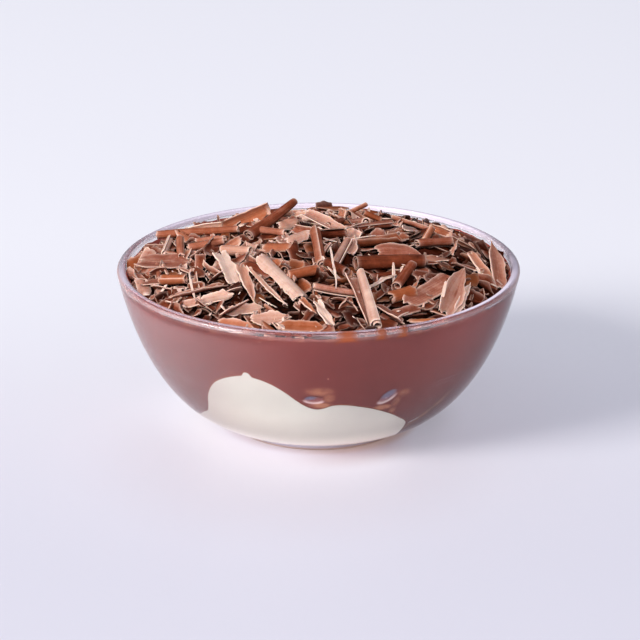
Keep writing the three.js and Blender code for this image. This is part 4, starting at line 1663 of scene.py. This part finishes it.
    def strewn(self, how: Strewing) -> Shavings:
        """Shavings strewn evenly over the bed, lying along it.

        Args:
            how: their number, sizes and kinds.

        Returns:
            The batch; short pieces are commoner, and those by the back wall lie low.
        """
        rng = np.random.default_rng(how.seed)
        count = how.count
        away = (self.radius - self.strewn_margin) * np.sqrt(rng.uniform(0, 1, count))
        angle = rng.uniform(0, 2 * np.pi, count)
        x, y = away * np.cos(angle), away * np.sin(angle)
        yaw = self.lie(x, y) + rng.normal(0, 45, count)
        length = how.lengths[0] + (how.lengths[1] - how.lengths[0]) * rng.uniform(0, 1, count) ** 1.4
        span = np.minimum(rng.uniform(*how.spans, count), 0.7 * length)
        kind = rng.uniform(0, 1, count)
        half_round, flat = rng.uniform(120, 240, count), rng.uniform(15, 105, count)
        curl = np.where(kind < how.rolls + how.curls, half_round, flat)
        curl = np.where(kind < how.rolls, rng.uniform(400, 700, count), curl)
        low = 1 - 0.75 * ease(away, 36, 46) * ease(y, 0, 20)
        flipped = np.where(rng.uniform(0, 1, count) < how.flipped, 180, 0)
        return Shavings(
            x, y, self.bed(x, y) + rng.uniform(*how.lifts, count) * low, yaw,
            pitch=self.slope(x, y, yaw) + rng.normal(0, how.tilt, count) * low,
            turn=rng.normal(0, 2 * how.tilt, count) * low + flipped,
            length=length, span=span, curl=curl,
            taper=rng.uniform(0.6, 1.1, count),
            tip=np.where(rng.uniform(0, 1, count) < how.pointed, rng.uniform(0.2, 0.7, count), 0.03),
            broken=np.minimum(0.5, 0.1 * length) * rng.uniform(0.5, 1.2, count),
            frayed=np.minimum(0.3, 0.07 * span) * rng.uniform(0.5, 1.5, count),
            bend=rng.normal(0, 0.03, count) * length,
            twist=rng.normal(0, 12, count),
            wave=np.minimum(0.12, 0.03 * span) * rng.uniform(0.3, 1, count),
            thickness=np.minimum(rng.uniform(0.28, 0.45, count), 0.5 * span),
            tone=rng.uniform(*how.tones, count) - 0.0045 * x + 0.004 * np.maximum(0, y),
            # glow: a painted glow of light through thin chocolate
            glow=np.maximum(0, rng.uniform(-1.4, 0.45, count)),
        )

    def kept_inside(self, made: Surface) -> Surface:
        """Presses a mesh in from the glass and up from the chocolate cream.

        Args:
            made: the mesh, which is changed.

        Returns:
            The same mesh.
        """
        points = made.points
        out = np.hypot(points[:, 0], points[:, 1])
        most = self.bowl.room(points[:, 2], self.glass_clearance)
        points[:, :2] *= np.minimum(1, most / np.maximum(out, 1e-6))[:, None]
        points[:, 2] = np.maximum(points[:, 2], self.edge - 0.2)
        return made

    def core(self) -> Surface:
        """Crumbly ground under the shavings: the bed with short waves of random heading."""
        degrees = np.linspace(0, 360, self.core_turns, endpoint=False)
        outer = self.radius + 0.2
        radius = np.linspace(outer, 0, self.core_rings)[None]
        x = radius * np.sin(np.radians(degrees))[:, None]
        y = -radius * np.cos(np.radians(degrees))[:, None]
        rng = np.random.default_rng(19)
        grain = np.zeros_like(x)
        for heading, waves in zip(rng.uniform(0, np.pi, 9), rng.uniform(*self.core_waves, 9)):
            grain += np.sin(waves * (x * np.cos(heading) + y * np.sin(heading)) + 9 * heading) / 6
        fade = ease(self.radius + 0.4 - radius, 0, 2)
        height = self.bed(x, y) - self.core_drop + self.core_grain * grain * fade
        top = np.stack([np.broadcast_to(radius, x.shape), height], -1)
        low = np.zeros((self.core_turns, 2, 2))
        low[:, :, 1] = self.edge - self.core_foot
        low[:, 1, 0] = outer
        return revolve(np.concatenate([low, top], 1), degrees)


@dataclass
class HeightField:
    """Heights of what lies highest and lowest over each cell of the bed."""

    cell: float = 0.5
    half: float = 56.0
    top: Array = field(init=False)
    low: Array = field(init=False)

    def __post_init__(self) -> None:
        """Starts with nothing on the bed."""
        side = int(2 * self.half / self.cell) + 1
        self.top, self.low = np.full((side, side), -np.inf), np.full((side, side), np.inf)

    def cells(self, x: Array, y: Array) -> tuple[Array, Array]:
        """Rows and columns of the cells over places."""
        most = len(self.top) - 1
        return tuple(np.clip(((k + self.half) / self.cell).astype(int), 0, most) for k in (x, y))

    def add(self, points: Array) -> None:
        """Widens the cells' heights to the points over them."""
        cells = self.cells(points[:, 0], points[:, 1])
        np.maximum.at(self.top, cells, points[:, 2])
        np.minimum.at(self.low, cells, points[:, 2])


@dataclass(frozen=True)
class HeapBuilder:
    """Lays the heap down in order and makes one mesh of each kind."""

    heap: Heap
    heights: HeightField = field(default_factory=HeightField)
    slot: str = "milk_chocolate"
    node: str = "chocolate_shavings"
    probe: float = 0.4
    tuck_gap: float = 0.1
    tuck_depth: float = 0.9
    cover_gap: float = 0.15
    steepest: float = 50.0
    sharp: float = 50.0

    def tuck(self, pieces: Shavings) -> Shavings:
        """Lets pieces down under what lies over their middle, ends and sides.

        Args:
            pieces: the batch, which is changed.

        Returns:
            The same batch.
        """
        cover = np.full(len(pieces), np.inf)
        for way, side in ((0, 0), (-self.probe, 0), (self.probe, 0), (0, -self.probe), (0, self.probe)):
            cover = np.minimum(cover, self.heights.low[self.heights.cells(*pieces.at(way, side))])
        under = np.minimum(pieces.z, cover - 0.5 * pieces.radius()[1] - self.tuck_gap)
        pieces.z = np.maximum(under, self.heap.bed(pieces.x, pieces.y) - self.tuck_depth)
        return pieces

    def settle(self, pieces: Shavings, rest: float, most: float) -> Shavings:
        """Lays pieces on what is under their two ends, and drops those that would lie high.

        Args:
            pieces: the batch, which is changed.
            rest: height of a piece's middle over what carries it.
            most: height over the bed above which no piece is kept.

        Returns:
            The pieces that are kept.
        """
        ends = []
        for way in (-self.probe, self.probe):
            x, y = pieces.at(way)
            ground = self.heap.bed(x, y) - self.heap.core_drop
            ends.append(np.maximum(self.heights.top[self.heights.cells(x, y)], ground))
        tilt = np.degrees(np.arctan2(ends[1] - ends[0], 2 * self.probe * pieces.length))
        pieces.pitch = np.clip(tilt, -self.steepest, self.steepest)
        pieces.z = (ends[0] + ends[1]) / 2 + rest
        return pieces.pick(pieces.z - self.heap.bed(pieces.x, pieces.y) < most)

    def lay(
        self,
        name: str,
        pieces: Shavings,
        kind: Kind,
        seed: int,
        material: bpy.types.Material,
        cover: Array | None = None,
    ) -> None:
        """Makes one mesh of a batch and raises the heights by it.

        Args:
            name: the mesh's name.
            pieces: the batch.
            kind: gives the facets.
            seed: start of the random draws.
            material: the finish.
            cover: heights over the cells of the bed that no point rises above.
        """
        made = pieces.surface(kind, seed)
        if cover is not None:
            x, y, z = made.points.T
            made.points[:, 2] = np.minimum(z, cover[self.heights.cells(x, y)] - self.cover_gap)
        made = self.heap.kept_inside(made)
        self.heights.add(made.points)
        made.put(name, self.node, self.slot, material, self.sharp)

    def build(self) -> None:
        """Makes the core, the large shavings, the layer under them, the splinters, chips and crumbs."""
        finish = ShavingFinish().made()
        heap = self.heap
        heap.core().put("heap_core", self.node, self.slot, CoreFinish().made())
        large = heap.large()
        rolls, flat = large.curl > ROLLED, large.curl < heap.flat_to
        self.lay("shaving_rolls", large.pick(rolls), Kind.ROLL, 100, finish)
        self.lay("shaving_curls", large.pick(~rolls & ~flat), Kind.CURL, 101, finish)
        self.lay("shaving_blades", large.pick(flat), Kind.BLADE, 102, finish)
        cover = self.heights.low.copy()
        deep, under_rolls, under = (
            self.tuck(heap.strewn(how)) for how in (heap.deep, heap.under_rolls, heap.under)
        )
        self.lay("deep_shavings", deep, Kind.UNDER, 109, finish, cover)
        self.lay("under_rolls", under_rolls, Kind.UNDER_ROLL, 103, finish, cover)
        self.lay("under_shavings", under, Kind.UNDER, 104, finish, cover)
        self.lay("placed_splinters", heap.placed_splinters(), Kind.SPLINTER, 105, finish)
        splinters = self.settle(heap.strewn(heap.strewn_splinters), rest=0.2, most=5.0)
        self.lay("strewn_splinters", splinters, Kind.SPLINTER, 106, finish)
        chips = self.settle(heap.strewn(heap.chips), rest=0.15, most=2.2)
        self.lay("shaving_chips", chips, Kind.CHIP, 107, finish)
        crumbs = self.settle(heap.strewn(heap.crumbs), rest=0.1, most=1.8)
        self.lay("shaving_crumbs", crumbs, Kind.CRUMB, 108, finish)


# Studio


class Reach(Enum):
    """Whether a lamp shines on one piece only or on all but that piece."""

    ONLY = "INCLUDE"
    ALL_BUT = "EXCLUDE"


@dataclass(frozen=True)
class Studio:
    """Pale floor, soft light from the left and a long-lens camera in front."""

    floor_size: float = 6000.0
    eye: Place = (0.0, -796.2, 319.7)
    aim: Place = (0.39, 0.0, 27.4)
    lens: float = 181.7
    sensor: float = 36.0
    lit_point: Place = (0.0, 0.0, 20.0)
    key_place: Place = (-2440.0, -1520.0, 1525.0)
    key_size: float = 1100.0
    key_power: float = 84.0
    key_colour: Colour = (1.0, 0.96, 0.91)
    fill_place: Place = (-20.0, -800.0, 620.0)
    fill_strength: float = 2.93
    fill_softness: float = 18.0
    fill_colour: Colour = (0.97, 0.96, 1.0)
    wash_place: Place = (0.0, 0.0, 1000.0)
    wash_strength: float = 1.69
    world_colour: Colour = (0.25, 0.255, 0.30)
    gamma: float = 0.85

    def floor(self) -> bpy.types.Object:
        """A flat square under the bowl."""
        half = self.floor_size / 2 * MM
        mesh = bpy.data.meshes.new("floor")
        corners = [(-half, -half, 0), (half, -half, 0), (half, half, 0), (-half, half, 0)]
        mesh.from_pydata(corners, [], [(0, 1, 2, 3)])
        mesh.materials.append(FloorFinish().made())
        floor = bpy.data.objects.new("floor", mesh)
        bpy.context.scene.collection.objects.link(floor)
        return floor

    def lamp(self, name: str, kind: str, power: float, colour: Colour, place: Place) -> bpy.types.Object:
        """A lamp that shines from a place at the bowl.

        Args:
            name: the lamp's name.
            kind: area or sun.
            power: watts, or watts a square metre for a sun.
            colour: its light.
            place: where it stands, in mm.

        Returns:
            The lamp.
        """
        data = bpy.data.lights.new(name, kind)
        data.energy = power
        data.color = colour
        lamp = bpy.data.objects.new(name, data)
        lamp.location = Vector(place) * MM
        ahead = Vector(self.lit_point) * MM - lamp.location
        lamp.rotation_euler = ahead.to_track_quat("-Z", "Y").to_euler()
        bpy.context.scene.collection.objects.link(lamp)
        return lamp

    def light(self, floor: bpy.types.Object) -> None:
        """A large square light at the left, a soft one on the bowl, an even one on the floor and a glow.

        Args:
            floor: what the even light falls on.
        """
        key = self.lamp("key", "AREA", self.key_power, self.key_colour, self.key_place)
        key.data.size = self.key_size * MM
        fill = self.lamp("fill", "SUN", self.fill_strength, self.fill_colour, self.fill_place)
        fill.data.angle = math.radians(self.fill_softness)
        fill.visible_glossy = False
        wash = self.lamp("wash", "SUN", self.wash_strength, self.fill_colour, self.wash_place)
        wash.data.use_shadow = False
        for lamp, reach in ((fill, Reach.ALL_BUT), (wash, Reach.ONLY)):
            group = bpy.data.collections.new(lamp.name)
            group.objects.link(floor)
            group.collection_objects[0].light_linking.link_state = reach.value
            lamp.light_linking.receiver_collection = group
        world = bpy.data.worlds.new("studio")
        world.use_nodes = True
        world.node_tree.nodes["Background"].inputs["Color"].default_value = (*self.world_colour, 1.0)
        bpy.context.scene.world = world

    def camera(self) -> None:
        """The camera, looking down at the bowl from the front."""
        data = bpy.data.cameras.new("camera")
        data.lens = self.lens
        data.sensor_width = self.sensor
        camera = bpy.data.objects.new("camera", data)
        camera.location = Vector(self.eye) * MM
        ahead = (Vector(self.aim) - Vector(self.eye)) * MM
        camera.rotation_euler = ahead.to_track_quat("-Z", "Y").to_euler()
        bpy.context.scene.collection.objects.link(camera)
        bpy.context.scene.camera = camera
        bpy.context.scene.view_settings.view_transform = "Standard"
        bpy.context.scene.view_settings.gamma = self.gamma


def main() -> None:
    """Builds the studio, the bowl, the creams and the heap."""
    logging.basicConfig(level=logging.INFO, format="%(name)s: %(message)s")
    studio = Studio()
    studio.light(studio.floor())
    studio.camera()
    bowl = GlassBowl()
    bowl.surface().put("bowl_glass", "glass_bowl", "clear_glass", GlassFinish().made(), sharp=60)
    glass_light, sheen = PaintedGlassLight(bowl), SheenFinish().made()
    glass_light.rim_skin().put("rim_sheen", "glass_bowl", "clear_glass", sheen, sharp=60)
    glass_light.side_skin().put("side_sheen", "glass_bowl", "clear_glass", sheen, sharp=60)
    glass_light.foot_skin().put("foot_sheen", "glass_bowl", "clear_glass", sheen, sharp=60)
    white = WhiteCream(bowl)
    white.surface().put("white_cream_body", "white_cream", "white_cream", CreamFinish().made(), sharp=70)
    brown = ChocolateCreamFinish().made()
    chocolate = ChocolateCream(white).surface()
    chocolate.put("chocolate_cream_body", "chocolate_cream", "chocolate_cream", brown, sharp=70)
    HeapBuilder(Heap(bowl)).build()


if __name__ == "__main__":
    main()
